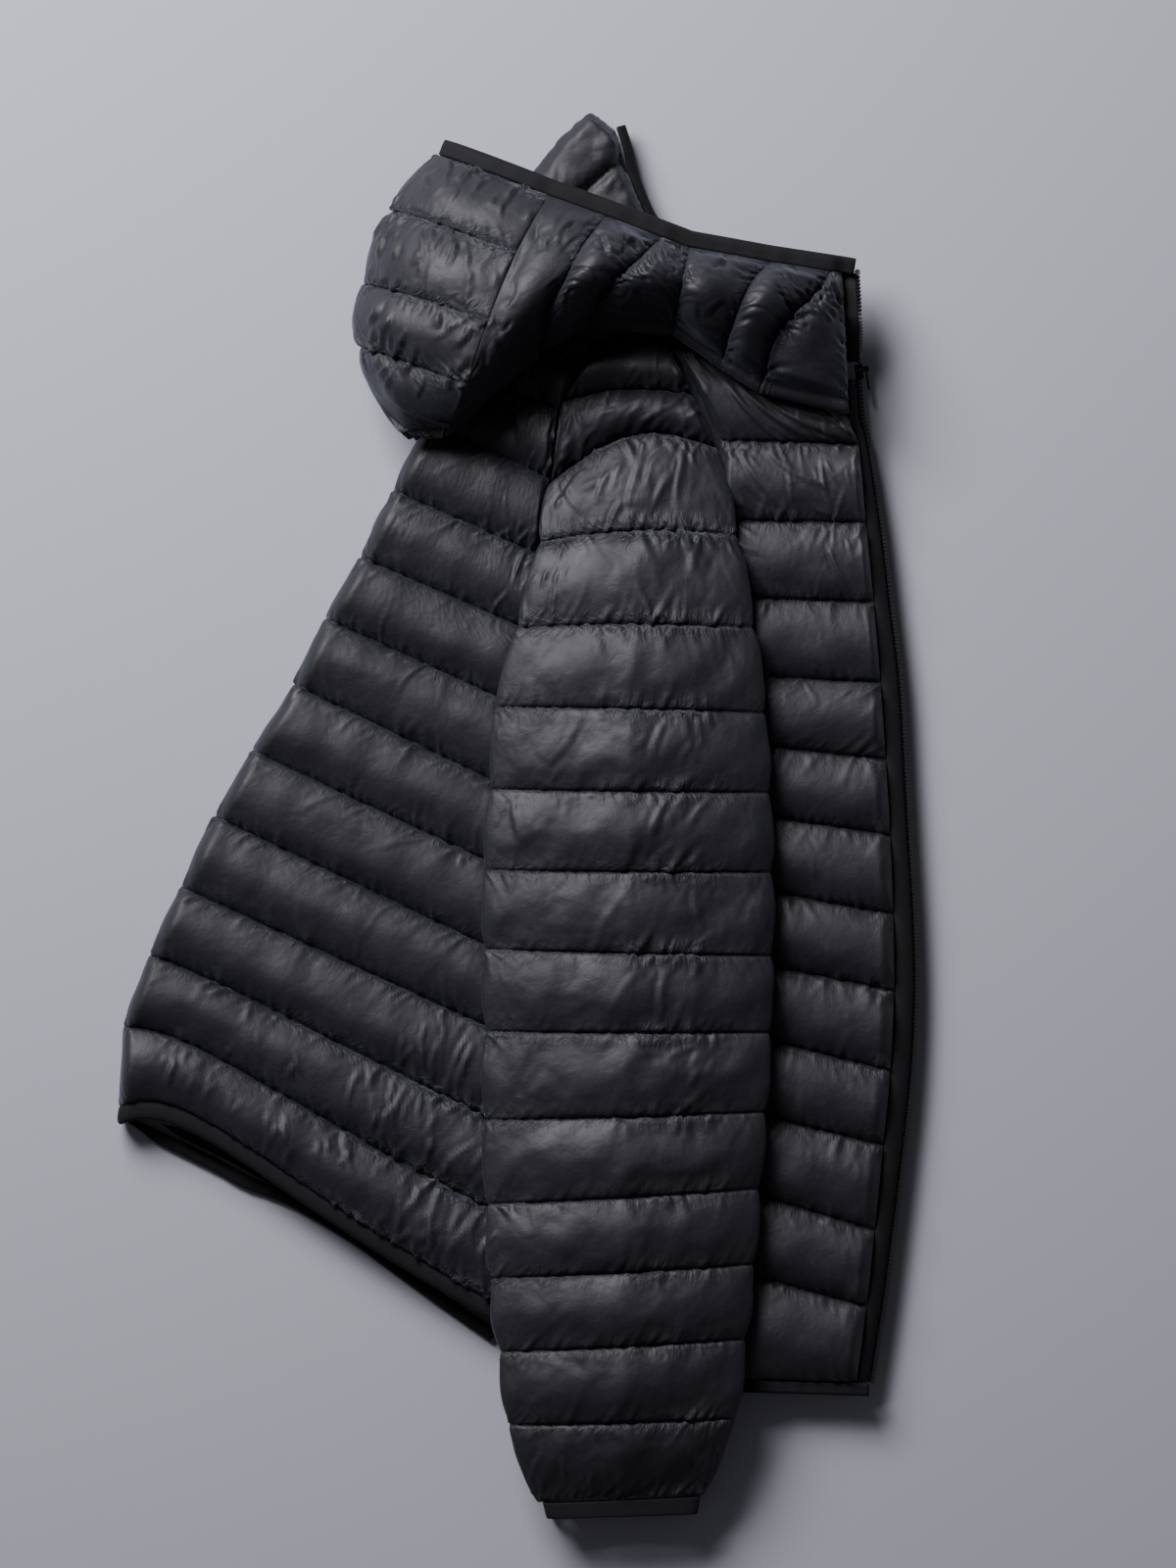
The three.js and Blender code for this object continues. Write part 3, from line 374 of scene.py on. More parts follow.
def layOut(name, grid, places, wrap=False, still=None):
    # a puffed panel with its stitch lines held, and its side seams too unless it is a tube
    rng = np.random.default_rng(11 + len(waiting))
    held = stitchRows(places, grid.shape[1], sides=not wrap)
    start = grid + rng.normal(0, cloth["unevenness"], grid.shape) * ~held[..., None]
    piece = meshFromGrid(name + "_cloth", start, wrap)
    stitched = piece.vertex_groups.new(name="stitched")
    stitched.add(np.flatnonzero(held.reshape(-1)).tolist(), 1.0, "REPLACE")
    modifier = piece.modifiers.new("Cloth", "CLOTH")
    settings = modifier.settings
    settings.vertex_group_mass = "stitched"
    for key, value in cloth["solver"].items():
        setattr(settings, key, value)
    settings.use_pressure = True
    settings.uniform_pressure_force = cloth["pressure"]
    settings.effector_weights.gravity = 0
    modifier.collision_settings.use_collision = False
    modifier.point_cache.frame_end = cloth["frames"]
    waiting[name] = {"piece": piece, "grid": grid, "places": places, "wrap": wrap, "still": still}


def blowUp():
    # all panels step together, because Blender then solves them side by side
    for step in range(1, cloth["frames"] + 1):
        bpy.context.scene.frame_set(step)
    depsgraph = bpy.context.evaluated_depsgraph_get()
    for name, panel in waiting.items():
        evaluated = panel["piece"].evaluated_get(depsgraph)
        mesh = evaluated.to_mesh()
        flat = np.empty(len(mesh.vertices) * 3, np.float32)
        mesh.vertices.foreach_get("co", flat)
        evaluated.to_mesh_clear()
        points = fromScene(flat.reshape(panel["grid"].shape).astype(float))
        moved = points - panel["grid"]
        size = np.linalg.norm(moved, axis=2, keepdims=True)
        kept = cloth["keptOnSleeve" if name == "sleeve_right" else "kept"]
        moved *= np.minimum(kept, cloth["farthest"] / np.maximum(size, 1e-6))
        if panel["still"] is not None:
            moved *= 1 - panel["still"][..., None]
        panel["blown"] = panel["grid"] + moved
        bpy.data.objects.remove(panel["piece"])
    bpy.context.scene.frame_set(1)


def twiceAsFine(grid, wrap=False):
    # doubles the rows and columns of a grid along smooth curves
    def along(g, closed):
        if closed:
            before, after = np.roll(g, 1, 0), np.roll(g, -1, 0)
            far = np.roll(g, -2, 0)
            between = (-before + 9 * g + 9 * after - far) / 16
            out = np.empty((2 * len(g),) + g.shape[1:])
            out[0::2], out[1::2] = g, between
            return out
        padded = np.concatenate([2 * g[:1] - g[1:2], g, 2 * g[-1:] - g[-2:-1]])
        between = (-padded[:-3] + 9 * padded[1:-2] + 9 * padded[2:-1] - padded[3:]) / 16
        out = np.empty((2 * len(g) - 1,) + g.shape[1:])
        out[0::2], out[1::2] = g, between
        return out
    fine = along(grid, False)
    return along(fine.swapaxes(0, 1), wrap).swapaxes(0, 1)


def shellFaces(nv, nk, nu, wrap):
    # an outer grid of nv rows, an inner one of nk rows and the walls between them
    start = nv * nu
    ratio = (nv - 1) // (nk - 1)
    faces = []

    def out(r, c):
        return r * nu + c % nu

    def inn(r, c):
        return start + r * nu + c % nu

    for c in range(nu if wrap else nu - 1):
        faces += [(out(r, c), out(r + 1, c), out(r + 1, c + 1), out(r, c + 1)) for r in range(nv - 1)]
        faces += [(inn(r, c), inn(r, c + 1), inn(r + 1, c + 1), inn(r + 1, c)) for r in range(nk - 1)]
        faces.append((out(0, c), out(0, c + 1), inn(0, c + 1), inn(0, c)))
        faces.append((out(nv - 1, c + 1), out(nv - 1, c), inn(nk - 1, c), inn(nk - 1, c + 1)))
    last = nu - 1
    for k in range(0 if wrap else nk - 1):
        if ratio == 1:
            faces.append((out(k + 1, 0), out(k, 0), inn(k, 0), inn(k + 1, 0)))
            faces.append((out(k, last), out(k + 1, last), inn(k + 1, last), inn(k, last)))
            continue
        for r in range(ratio * k, ratio * (k + 1)):
            faces.append((out(r + 1, 0), out(r, 0), inn(k, 0)))
            faces.append((out(r, last), out(r + 1, last), inn(k, last)))
        end = ratio * (k + 1)
        faces.append((out(end, 0), inn(k, 0), inn(k + 1, 0)))
        faces.append((inn(k, last), out(end, last), inn(k + 1, last)))
    return faces


def closedWall(name, outer, inner, material, wrap, seams):
    # the quilted outer face and the plain inner one
    start = outer.shape[0] * outer.shape[1]
    verts = toScene(np.concatenate([outer.reshape(-1, 3), inner.reshape(-1, 3)]))
    faces = shellFaces(len(outer), len(inner), outer.shape[1], wrap)
    mesh = bpy.data.meshes.new(name)
    mesh.from_pydata(verts.tolist(), [], faces)
    mesh.update()
    work = bmesh.new()
    work.from_mesh(mesh)
    if work.calc_volume(signed=True) < 0:
        bmesh.ops.reverse_faces(work, faces=work.faces)
    for face in work.faces:
        outside = [corner.index < start for corner in face.verts]
        face.smooth = all(outside) or not any(outside)
    work.to_mesh(mesh)
    work.free()
    # along the seam, away from it, and how gathered the cloth is there
    corners = np.empty(len(mesh.loops), np.int32)
    mesh.loops.foreach_get("vertex_index", corners)
    flat = np.zeros((len(mesh.vertices), 3))
    flat[:start] = seams.reshape(-1, 3)
    uv = mesh.uv_layers.new(name="seams")
    perUnit = 100  # one unit of this layer is 100 mm
    uv.data.foreach_set("uv", (flat[corners, :2] / perUnit).astype(np.float32).reshape(-1))
    gathered = mesh.attributes.new("gathered", "FLOAT", "POINT")
    gathered.data.foreach_set("value", flat[:, 2].astype(np.float32))
    mesh.materials.append(material)
    return addPiece(name, mesh)


def seamPlaces(grid, places, amount, flush=False):
    # millimetres along each row and to the nearest stitch line
    along = lengthAlong(grid)
    away = np.zeros(along.shape)
    for channel in range(int(places[-1])):
        inside = np.flatnonzero((places >= channel) & (places <= channel + 1))
        step = np.linalg.norm(np.diff(grid[inside], axis=0), axis=2)
        down = np.concatenate([np.zeros((1, grid.shape[1])), np.cumsum(step, axis=0)])
        away[inside] = down[-1] - down if flush and channel == 0 else np.minimum(down, down[-1] - down)
    channelOf = np.minimum(places.astype(int), int(places[-1]) - 1)[:, None]
    shift = 37.0  # so that the puckers of two channels differ
    return np.stack([along + shift * channelOf, away, amount + 0 * along], axis=2)


# Materials

def linear(code):
    # sRGB hex to the linear colour that a shader takes
    values = [int(code[i:i + 2], 16) / 255 for i in (1, 3, 5)]
    return [v / 12.92 if v <= 0.04045 else ((v + 0.055) / 1.055) ** 2.4 for v in values] + [1.0]


def addNode(tree, kind, settings=None, inputs=None, links=None):
    node = tree.nodes.new(kind)
    for key, value in (settings or {}).items():
        setattr(node, key, value)
    for key, value in (inputs or {}).items():
        node.inputs[key].default_value = value
    for key, source in (links or {}).items():
        tree.links.new(source, node.inputs[key])
    return node


def newMaterial(name):
    material = bpy.data.materials.new(name)
    material.use_nodes = True
    material.node_tree.nodes.clear()
    return material, material.node_tree


def makeNylon():
    # calendered nylon taffeta: a smooth dark face with a soft sheen, puckered beside each seam
    material, tree = newMaterial("calendered_nylon_taffeta")
    place = addNode(tree, "ShaderNodeTexCoord")
    fill = addNode(tree, "ShaderNodeTexNoise", inputs={
        "Scale": 34.0, "Detail": 3.0, "Roughness": 0.5}, links={"Vector": place.outputs["Object"]})
    fillBump = addNode(tree, "ShaderNodeBump", inputs={
        "Strength": 0.35, "Distance": 0.0035}, links={"Height": fill.outputs["Fac"]})
    crinkle = addNode(tree, "ShaderNodeTexNoise", inputs={
        "Scale": 190.0, "Detail": 4.0, "Roughness": 0.6, "Distortion": 0.6},
        links={"Vector": place.outputs["Object"]})  # 5 mm and finer
    crinkleBump = addNode(tree, "ShaderNodeBump", inputs={
        "Strength": 0.25, "Distance": 0.0012},
        links={"Height": crinkle.outputs["Fac"], "Normal": fillBump.outputs["Normal"]})
    seams = addNode(tree, "ShaderNodeUVMap", {"uv_map": "seams"})
    narrow = addNode(tree, "ShaderNodeMapping", inputs={
        "Rotation": (0, 0, 0.15), "Scale": (24.0, 6.0, 1.0)},
        links={"Vector": seams.outputs["UV"]})  # puckers 4 mm apart and 16 mm long
    puckers = addNode(tree, "ShaderNodeTexNoise", inputs={
        "Scale": 1.0, "Detail": 3.0, "Roughness": 0.62, "Distortion": 0.7},
        links={"Vector": narrow.outputs["Vector"]})
    away = addNode(tree, "ShaderNodeSeparateXYZ", links={"Vector": seams.outputs["UV"]})
    fade = addNode(tree, "ShaderNodeMapRange", {"interpolation_type": "SMOOTHSTEP"}, {
        "From Min": 0.0, "From Max": 0.15, "To Min": 1.0, "To Max": 0.05},
        {"Value": away.outputs["Y"]})
    clumps = addNode(tree, "ShaderNodeMapRange", inputs={
        "From Min": 0.36, "From Max": 0.62, "To Min": 0.25, "To Max": 1.15},
        links={"Value": fill.outputs["Fac"]})
    uneven = addNode(tree, "ShaderNodeMath", {"operation": "MULTIPLY"}, links={
        0: fade.outputs["Result"], 1: clumps.outputs["Result"]})
    gathered = addNode(tree, "ShaderNodeAttribute", {"attribute_name": "gathered"})
    reach = addNode(tree, "ShaderNodeMath", {"operation": "MULTIPLY"}, links={
        0: uneven.outputs["Value"], 1: gathered.outputs["Fac"]})
    height = addNode(tree, "ShaderNodeMath", {"operation": "MULTIPLY"}, links={
        0: puckers.outputs["Fac"], 1: reach.outputs["Value"]})
    bump = addNode(tree, "ShaderNodeBump", inputs={
        "Strength": 0.85, "Distance": 0.0026},
        links={"Height": height.outputs["Value"], "Normal": crinkleBump.outputs["Normal"]})
    rough = addNode(tree, "ShaderNodeMapRange", inputs={
        "From Min": 0.3, "From Max": 0.7, "To Min": 0.53, "To Max": 0.66},
        links={"Value": fill.outputs["Fac"]})
    shader = addNode(tree, "ShaderNodeBsdfPrincipled", inputs={
        "Base Color": linear("#19191f"), "IOR": 1.53, "Sheen Weight": 0.47,
        "Sheen Roughness": 0.35, "Sheen Tint": linear("#8b91a5")},
        links={"Normal": bump.outputs["Normal"], "Roughness": rough.outputs["Result"]})
    addNode(tree, "ShaderNodeOutputMaterial", links={"Surface": shader.outputs["BSDF"]})
    return material


def plainMaterial(name, inputs, grain=None):
    # one even surface, with a fine grain where it has one: scale, detail, strength and depth
    material, tree = newMaterial(name)
    links = {}
    if grain:
        scale, detail, strength, depth = grain
        place = addNode(tree, "ShaderNodeTexCoord")
        noise = addNode(tree, "ShaderNodeTexNoise", inputs={"Scale": scale, "Detail": detail},
                        links={"Vector": place.outputs["Object"]})
        bump = addNode(tree, "ShaderNodeBump", inputs={"Strength": strength, "Distance": depth},
                       links={"Height": noise.outputs["Fac"]})
        links["Normal"] = bump.outputs["Normal"]
    shader = addNode(tree, "ShaderNodeBsdfPrincipled", inputs=inputs, links=links)
    addNode(tree, "ShaderNodeOutputMaterial", links={"Surface": shader.outputs["BSDF"]})
    return material


def makeMetal(name, code, roughness):
    # die-cast zinc: lacquered dark on the slider, bare and pale on the top stop
    material, tree = newMaterial(name)
    place = addNode(tree, "ShaderNodeTexCoord")
    wear = addNode(tree, "ShaderNodeTexNoise", inputs={
        "Scale": 400.0, "Detail": 3.0}, links={"Vector": place.outputs["Object"]})
    rough = addNode(tree, "ShaderNodeMapRange", inputs={
        "To Min": roughness - 0.08, "To Max": roughness + 0.08}, links={"Value": wear.outputs["Fac"]})
    shader = addNode(tree, "ShaderNodeBsdfPrincipled", inputs={
        "Base Color": linear(code), "Metallic": 1.0}, links={"Roughness": rough.outputs["Result"]})
    addNode(tree, "ShaderNodeOutputMaterial", links={"Surface": shader.outputs["BSDF"]})
    return material


nylon = makeNylon()
# folded elastic binding: a matt knitted face
elastic = plainMaterial("folded_elastic_binding", {
    "Base Color": linear("#141417"), "Roughness": 0.8, "Specular IOR Level": 0.25},
    (900.0, 2.0, 0.5, 0.0004))
# woven polyester zip tape, dull and dark
zipTape = plainMaterial("woven_polyester_tape", {
    "Base Color": linear("#141416"), "Roughness": 0.85}, (1100.0, 1.0, 0.5, 0.0003))
# nylon coil and polyester thread, dyed black, with a low gloss
dyedBlack = {"Base Color": linear("#1a1a1c"), "Roughness": 0.4, "IOR": 1.53}
coil = plainMaterial("nylon_coil", dyedBlack)
thread = plainMaterial("polyester_thread", dyedBlack)
darkZinc = makeMetal("lacquered_zinc", "#2c2c2f", 0.38)
paleZinc = makeMetal("bare_zinc", "#b9b9bd", 0.3)
print("materials made")

# The quilted panels, laid out and blown up together


def covered(grid):
    # 1 where the sleeve or the hood lies on a panel
    x, y = grid[..., 0], grid[..., 1]
    return 1 - freeOfSleeve(x, y) * freeOfHood(x, y)


places = placesAlong(len(backLines) - 1)
grid = backGrid(rowsAt(backLines, places), fullness(places))
layOut("back_right", grid, places, still=covered(grid))

frontT = np.linspace(0, 1, 47)
places = placesAlong(len(frontLines) - 1)
grid = panelGrid(rowsAt(frontLines, places), lineOnFront, frontT, fullness(places),
                 lambda x, y, t: bodyLoft(x, y) * edgeShare(t, 0.06, 0.035))
layOut("front_right", grid, places, still=covered(grid))

shoulderT = 0.5 - 0.5 * np.cos(np.linspace(0, np.pi, 37))
places = placesAlong(len(shoulderLines) - 1)
grid = panelGrid(rowsAt(shoulderLines, places), lineAcross, shoulderT, fullness(places), shoulderLoft)
layOut("shoulder_right", grid, places)

places = placesAlong(len(sleeveLines) - 1)
around = 116
grid = sleeveGrid(rowsAt(sleeveLines, places), around, fullness(places))
underneath = 1 - smooth(np.sin(2 * np.pi * np.arange(around) / around), -0.35, 0.1)
layOut("sleeve_right", grid, places, wrap=True, still=np.broadcast_to(underneath, grid.shape[:2]))

sideT = np.linspace(0, 1, 47)
places = placesAlong(6)
grid = hoodGrid(np.maximum(places + 1, hood["sideStart"]), sideT)
hoodFull = fullness(places, body["hoodCrest"])[:, 0]
hoodFull = np.where(places < 0.4, np.maximum(hoodFull, body["seamFull"]), hoodFull)
deepFolds = 1 + 0.35 * ((places > 1) & (places < 2) | (places > 4) & (places < 5))
grid[..., 2] += body["hoodLoft"] * (hoodFull * deepFolds)[:, None] * edgeShare(sideT)
layOut("hood_side_right", grid, places)

stripS = hood["stripEnd"] * (1 - np.cos(np.linspace(0, np.pi / 2, 37)))
places = placesAlong(4)
grid = hoodGrid(stripS, np.interp(places, range(5), centreStripLines)).swapaxes(0, 1).copy()
rimShare = edgeShare(np.interp(places, range(5), centreStripLines))[:, None]
seamLoft = body["hoodLoft"] * body["seamFull"] * rimShare
puffed = mix(body["stripLoft"] * fullness(places), seamLoft, smooth(stripS, 0.62, 1))
grid[..., 0] -= puffed * 0.5 * (1 - stripS)
grid[..., 2] += puffed * smooth(stripS, 0, 0.3)
layOut("hood_centre", grid, places)

blowUp()
print("panels blown up")

creases = {"spacing": 4.4, "height": 1.45, "reach": 21.0, "narrow": 1.1, "wide": 2.9, "lean": 0.35}


def normalsOf(grid, wrap):
    down = np.gradient(grid, axis=0)
    if wrap:
        over = (np.roll(grid, -1, 1) - np.roll(grid, 1, 1)) / 2
    else:
        over = np.gradient(grid, axis=1)
    normal = np.cross(over, down) if wrap else np.cross(down, over)
    normal /= np.maximum(np.linalg.norm(normal, axis=2, keepdims=True), 1e-9)
    return normal


def creaseField(grid, places, amount, seed, flush=False):
    # short creases that run into each stitch line from both sides, of many lengths
    rng = np.random.default_rng(seed)
    along = lengthAlong(grid)
    field = np.zeros(grid.shape[:2])
    for channel in range(int(places[-1])):
        inside = (places >= channel) & (places <= channel + 1)
        share = (places[inside] - channel)[:, None]
        ends = grid[inside][[0, -1]]
        height = np.linalg.norm(ends[1] - ends[0], axis=1)[None, :] * 1.12
        u = along[inside]
        total = np.zeros(u.shape)
        lines = [share * height, (1 - share) * height]
        if flush and channel == 0:
            lines = lines[1:]
        for fromLine in lines:
            for _ in range(int(u.max() / creases["spacing"])):
                at = rng.uniform(0, u.max())
                width = rng.uniform(creases["narrow"], creases["wide"])
                reach = creases["reach"] * rng.uniform(0.3, 1.0) ** 1.4 * rng.choice([1, 1, 1.6])
                lean = rng.normal(0, creases["lean"])
                lift = creases["height"] * rng.uniform(0.25, 1.0)
                near = np.flatnonzero(np.abs(u[len(u) // 2] - at) < 4 * width + reach)
                if len(near) == 0:
                    continue
                cut = slice(near[0], near[-1] + 1)
                d = fromLine[:, cut]
                x = (u[:, cut] - at - lean * d) / (width * (1 + 0.8 * d / reach))
                fade = np.clip(1 - d / reach, 0, 1) ** 1.2 * (0.25 + 0.75 * smooth(d, 0, 2.5))
                total[:, cut] += lift * fade * (1 - 1.1 * x * x) * np.exp(-x * x)
        field[inside] = total
    return np.clip(field, -1.6, 1.9) * amount


def softNoise(grid, seed, size):
    # smooth lumps of the fill under the cloth, from waves in several directions
    rng = np.random.default_rng(seed)
    total = np.zeros(grid[..., 0].shape)
    for _ in range(9):
        direction = rng.uniform(0, 2 * np.pi)
        wave = 2 * np.pi / (size * rng.uniform(0.6, 1.8))
        total += np.sin(wave * (grid[..., 0] * math.cos(direction) + grid[..., 1] * math.sin(direction))
                        + rng.uniform(0, 2 * np.pi))
    return total / 3


# Longer creases that show in the photo: from and to in its pixels, width and height in mm
dragLines = np.array([
    (742, 392, 800, 448, 2.4, 1.5), (752, 392, 838, 450, 2.6, 1.6), (766, 396, 868, 448, 2.4, 1.4),
    (790, 408, 876, 430, 2.2, 1.2), (752, 452, 800, 520, 2.4, 1.2), (775, 455, 850, 500, 2.2, 1.3),
    (838, 470, 850, 520, 1.8, 1.0), (862, 500, 850, 560, 1.8, 1.0), (846, 560, 866, 600, 1.8, 1.2),
    (680, 732, 664, 776, 2.2, 1.9), (712, 734, 716, 762, 2.0, 1.2), (722, 816, 700, 846, 2.2, 1.4),
    (682, 812, 662, 858, 2.2, 2.0), (716, 866, 702, 884, 1.8, 1.3), (690, 960, 672, 1040, 2.6, 1.5),
    (708, 900, 716, 950, 2.2, 1.2), (524, 812, 532, 858, 2.2, 1.4), (560, 780, 600, 716, 2.4, 0.8),
    (640, 905, 600, 985, 3.0, 0.9), (655, 985, 618, 1040, 2.6, 0.9), (474, 868, 468, 884, 1.6, 1.2),
    (412, 1058, 408, 1095, 2.0, 1.6), (448, 1062, 438, 1120, 2.4, 1.5), (484, 1068, 462, 1122, 2.2, 1.9),
    (468, 1180, 400, 1262, 2.6, 1.6), (452, 1200, 440, 1290, 2.4, 1.5), (492, 1200, 458, 1262, 2.4, 1.7),
    (380, 1120, 388, 1180, 2.0, 1.4), (500, 1230, 450, 1290, 2.6, 1.7), (350, 1150, 362, 1200, 2.2, 1.3),
    (690, 380, 672, 420, 2.0, 1.2), (650, 430, 700, 400, 2.0, 1.1), (590, 500, 640, 470, 2.4, 1.2),
    (672, 345, 673, 412, 1.0, 1.6), (655, 470, 640, 530, 2.2, 1.3), (700, 460, 690, 520, 2.2, 1.2),
    (570, 490, 600, 530, 2.2, 1.2),
], float)


# Areas with many small ones: corners in pixels, run across and down, count, length and height in mm
wrinkledAreas = np.array([
    (350, 1060, 500, 1330, -0.35, 1, 60, 22, 2.7), (160, 1060, 340, 1180, -0.25, 1, 34, 15, 2.2),
    (560, 380, 720, 540, -0.6, 1, 44, 18, 2.0), (500, 440, 600, 640, -0.5, 1, 34, 16, 1.6),
    (375, 170, 560, 420, 0.35, -1, 110, 15, 2.8), (740, 400, 870, 560, 0.9, 1, 18, 22, 1.3),
    (610, 235, 700, 330, -0.6, -1, 34, 11, 2.8), (790, 265, 860, 340, -0.6, -1, 30, 10, 2.8),
    (540, 1455, 745, 1530, 0.1, 1, 22, 17, 1.2), (650, 690, 725, 1120, -0.35, 1, 30, 18, 1.2),
    (505, 640, 560, 1150, 0.4, 1, 26, 11, 0.9), (540, 230, 760, 330, -0.7, 1, 40, 15, 2.0),
    (800, 420, 885, 1350, 0.2, 1, 34, 13, 0.9),
])


# Ruffled lips of the hood's two deep folds: from and to in pixels, count, length and height in mm
ruffles = np.array([(618, 300, 686, 258, 11, 8, 2.8), (796, 343, 848, 300, 9, 8, 2.8)], float)


def lineAt(x, y, turn, reach, width, height):
    # a crease from its middle, its turn and half its length
    over, down = reach * math.cos(turn), reach * math.sin(turn)
    return x - over, y - down, x + over, y + down, width, height


def scatterLines():
    rng = np.random.default_rng(71)
    rows = []
    for x0, y0, x1, y1, count, length, height in ruffles:
        for share in (np.arange(int(count)) + 0.5) / count:
            x = mix(x0, x1, share) + rng.normal(0, 1.2)
            y = mix(y0, y1, share) + rng.normal(0, 1.2)
            reach = length / photo["mmPerPixel"] * rng.uniform(0.7, 1.1) / 2
            turn = math.atan2(x1 - x0, y0 - y1) + rng.normal(0, 0.2)
            rows.append(lineAt(x, y, turn, reach, 1.2, height))
    for x0, y0, x1, y1, across, down, count, length, height in wrinkledAreas:
        for _ in range(int(count)):
            x, y = rng.uniform(x0, x1), rng.uniform(y0, y1)
            turn = math.atan2(down, across) + rng.normal(0, 0.35)
            reach = length / photo["mmPerPixel"] * rng.uniform(0.4, 1.3) / 2
            rows.append(lineAt(x, y, turn, reach, rng.uniform(1.1, 2.2), height * rng.uniform(0.4, 1.0)))
    return np.concatenate([dragLines, np.array(rows)])


allLines = scatterLines()


def dragField(grid, lines=allLines):
    xs, ys = grid[..., 0].reshape(-1), grid[..., 1].reshape(-1)
    field = np.zeros(len(xs))
    for x0, y0, x1, y1, width, height in lines:
        (ax, bx), (ay, by) = fromPhoto([x0, x1], [y0, y1])
        length = math.hypot(bx - ax, by - ay)
        ux, uy = (bx - ax) / length, (by - ay) / length
        close = 0.65 * length + 8
        near = np.flatnonzero((np.abs(xs - (ax + bx) / 2) < close) & (np.abs(ys - (ay + by) / 2) < close))
        if len(near) == 0:
            continue
        along = (xs[near] - ax) * ux + (ys[near] - ay) * uy
        off = (xs[near] - ax) * uy - (ys[near] - ay) * ux
        off = (off - 0.06 * length * np.sin(np.pi * np.clip(along / length, 0, 1))) / (0.8 * width)
        fade = smooth(along, -0.15 * length, 0.25 * length)
        fade *= 1 - smooth(along, 0.6 * length, 1.15 * length)
        # a sharp crest with a hollow on one side
        ridge = np.exp(-np.abs(off) ** 1.4) - 0.5 * np.exp(-((off - 1.5) / 0.9) ** 2)
        field[near] += height * fade * ridge
    return np.clip(field, -1.9, 2.9).reshape(grid[..., 0].shape)


def backAmount(grid, places):
    x, y = grid[..., 0], grid[..., 1]
    side = smooth(x, -115, -35) * smooth(-y, 95, 170)
    lower = smooth(-y + 0.55 * x, 120, 175)
    return 0.95 + 0.9 * side + 0.9 * lower


def sleeveAmount(grid, places):
    x, y = grid[..., 0], grid[..., 1]
    crest = np.exp(-((x - 88) / 30) ** 2) * (1 - 0.55 * smooth(-y, 100, 260))
    return 0.65 + 1.1 * crest + 0.9 * smooth(y, 70, 170) - 0.45 * smooth(x, 118, 135)


def hoodAmount(grid, places):
    # ruffled edges just past the two deep folds
    ruffled = [(1 - smooth(places - line, 0.1, 0.55)) * (places >= line) for line in (2, 5)]
    return 1.4 + 1.6 * (ruffled[0] + ruffled[1])[:, None] + 0 * grid[..., 0]


def frontAmount(grid, places):
    x, y = grid[..., 0], grid[..., 1]
    return 0.75 + 0.7 * smooth(x, 195, 225) + 0.5 * smooth(y, 110, 200)


def rolledRim(grid, steps=8, radius=6.3):
    # the last row turns under, as a padded edge does
    last = grid[-1]
    out = last - grid[-3]
    out[:, 2] = 0
    out /= np.maximum(np.linalg.norm(out, axis=1, keepdims=True), 1e-9)
    rows = []
    for angle in np.linspace(0, np.radians(172), steps + 1)[1:]:
        row = last + out * radius * math.sin(angle)
        row[:, 2] -= radius * (1 - math.cos(angle))
        rows.append(row)
    return np.concatenate([grid, np.array(rows)])


seamPaths = []  # where the stitches go


def quilted(name, innerAt, seed, amountAt, rolled=None):
    panel = waiting[name]
    wrap = panel["wrap"]
    fine = twiceAsFine(panel["blown"], wrap)
    places = np.interp(np.arange(len(fine)) / 2, np.arange(len(panel["places"])), panel["places"])
    full = fullness(places)
    amount = amountAt(fine, places)
    flush = name == "hood_side_right"
    lift = creaseField(fine, places, amount, seed, flush) + 0.5 * softNoise(fine, seed, 34) * full
    facesUp = 1.0
    if wrap:
        facesUp = smooth(np.sin(2 * np.pi * np.arange(fine.shape[1]) / fine.shape[1]), 0.1, 0.4)
    lift += dragField(fine) * facesUp * (full ** 0.5)
    if wrap:
        lift *= 1 - twiceAsFine(panel["still"][..., None], wrap)[..., 0]
    elif panel["still"] is not None:
        lift *= freeOfSleeve(fine[..., 0], fine[..., 1])
    if not wrap:
        lift[:, [0, -1]] = 0
    if flush:
        lift[0] = 0
    fine = fine + normalsOf(fine, wrap) * lift[..., None]
    fine[..., 2] = np.maximum(fine[..., 2], body["lowest"])
    for row in np.flatnonzero((places % 1.0 < 1e-6) & (places > 0) & (places < places[-1])):
        line = fine[row]
        if wrap:
            line = line[: len(line) // 2 + 1]  # the sleeve's upper side
        seamPaths.append(line + (0, 0, 0.15))
    seams = seamPlaces(fine, places, amount, flush)
    if rolled == "rows":
        fine = rolledRim(fine)
    if rolled == "columns":
        fine = rolledRim(fine.swapaxes(0, 1)).swapaxes(0, 1)
    more = [(0, fine.shape[0] - len(seams)), (0, fine.shape[1] - seams.shape[1]), (0, 0)]
    seams = np.pad(seams, more, mode="edge")
    piece = closedWall("quilt_" + name, fine, innerAt(fine.shape[1]), nylon, wrap, seams)
    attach(piece, "jacket")
    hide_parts(name)


def evenly(count):
    return np.linspace(0, 1, count)


def shoulderInside(count):
    return panelGrid(shoulderLines, lineAcross, 0.5 - 0.5 * np.cos(np.pi * evenly(count)))


def sideInside(count):
    return hoodInside(np.array([hood["sideStart"], 2, 3, 4, 5, 6, 7]), evenly(count))


def stripInside(count):
    s = hood["stripEnd"] * (1 - np.cos(evenly(count) * np.pi / 2))
    return hoodInside(s, np.array(centreStripLines)).swapaxes(0, 1)


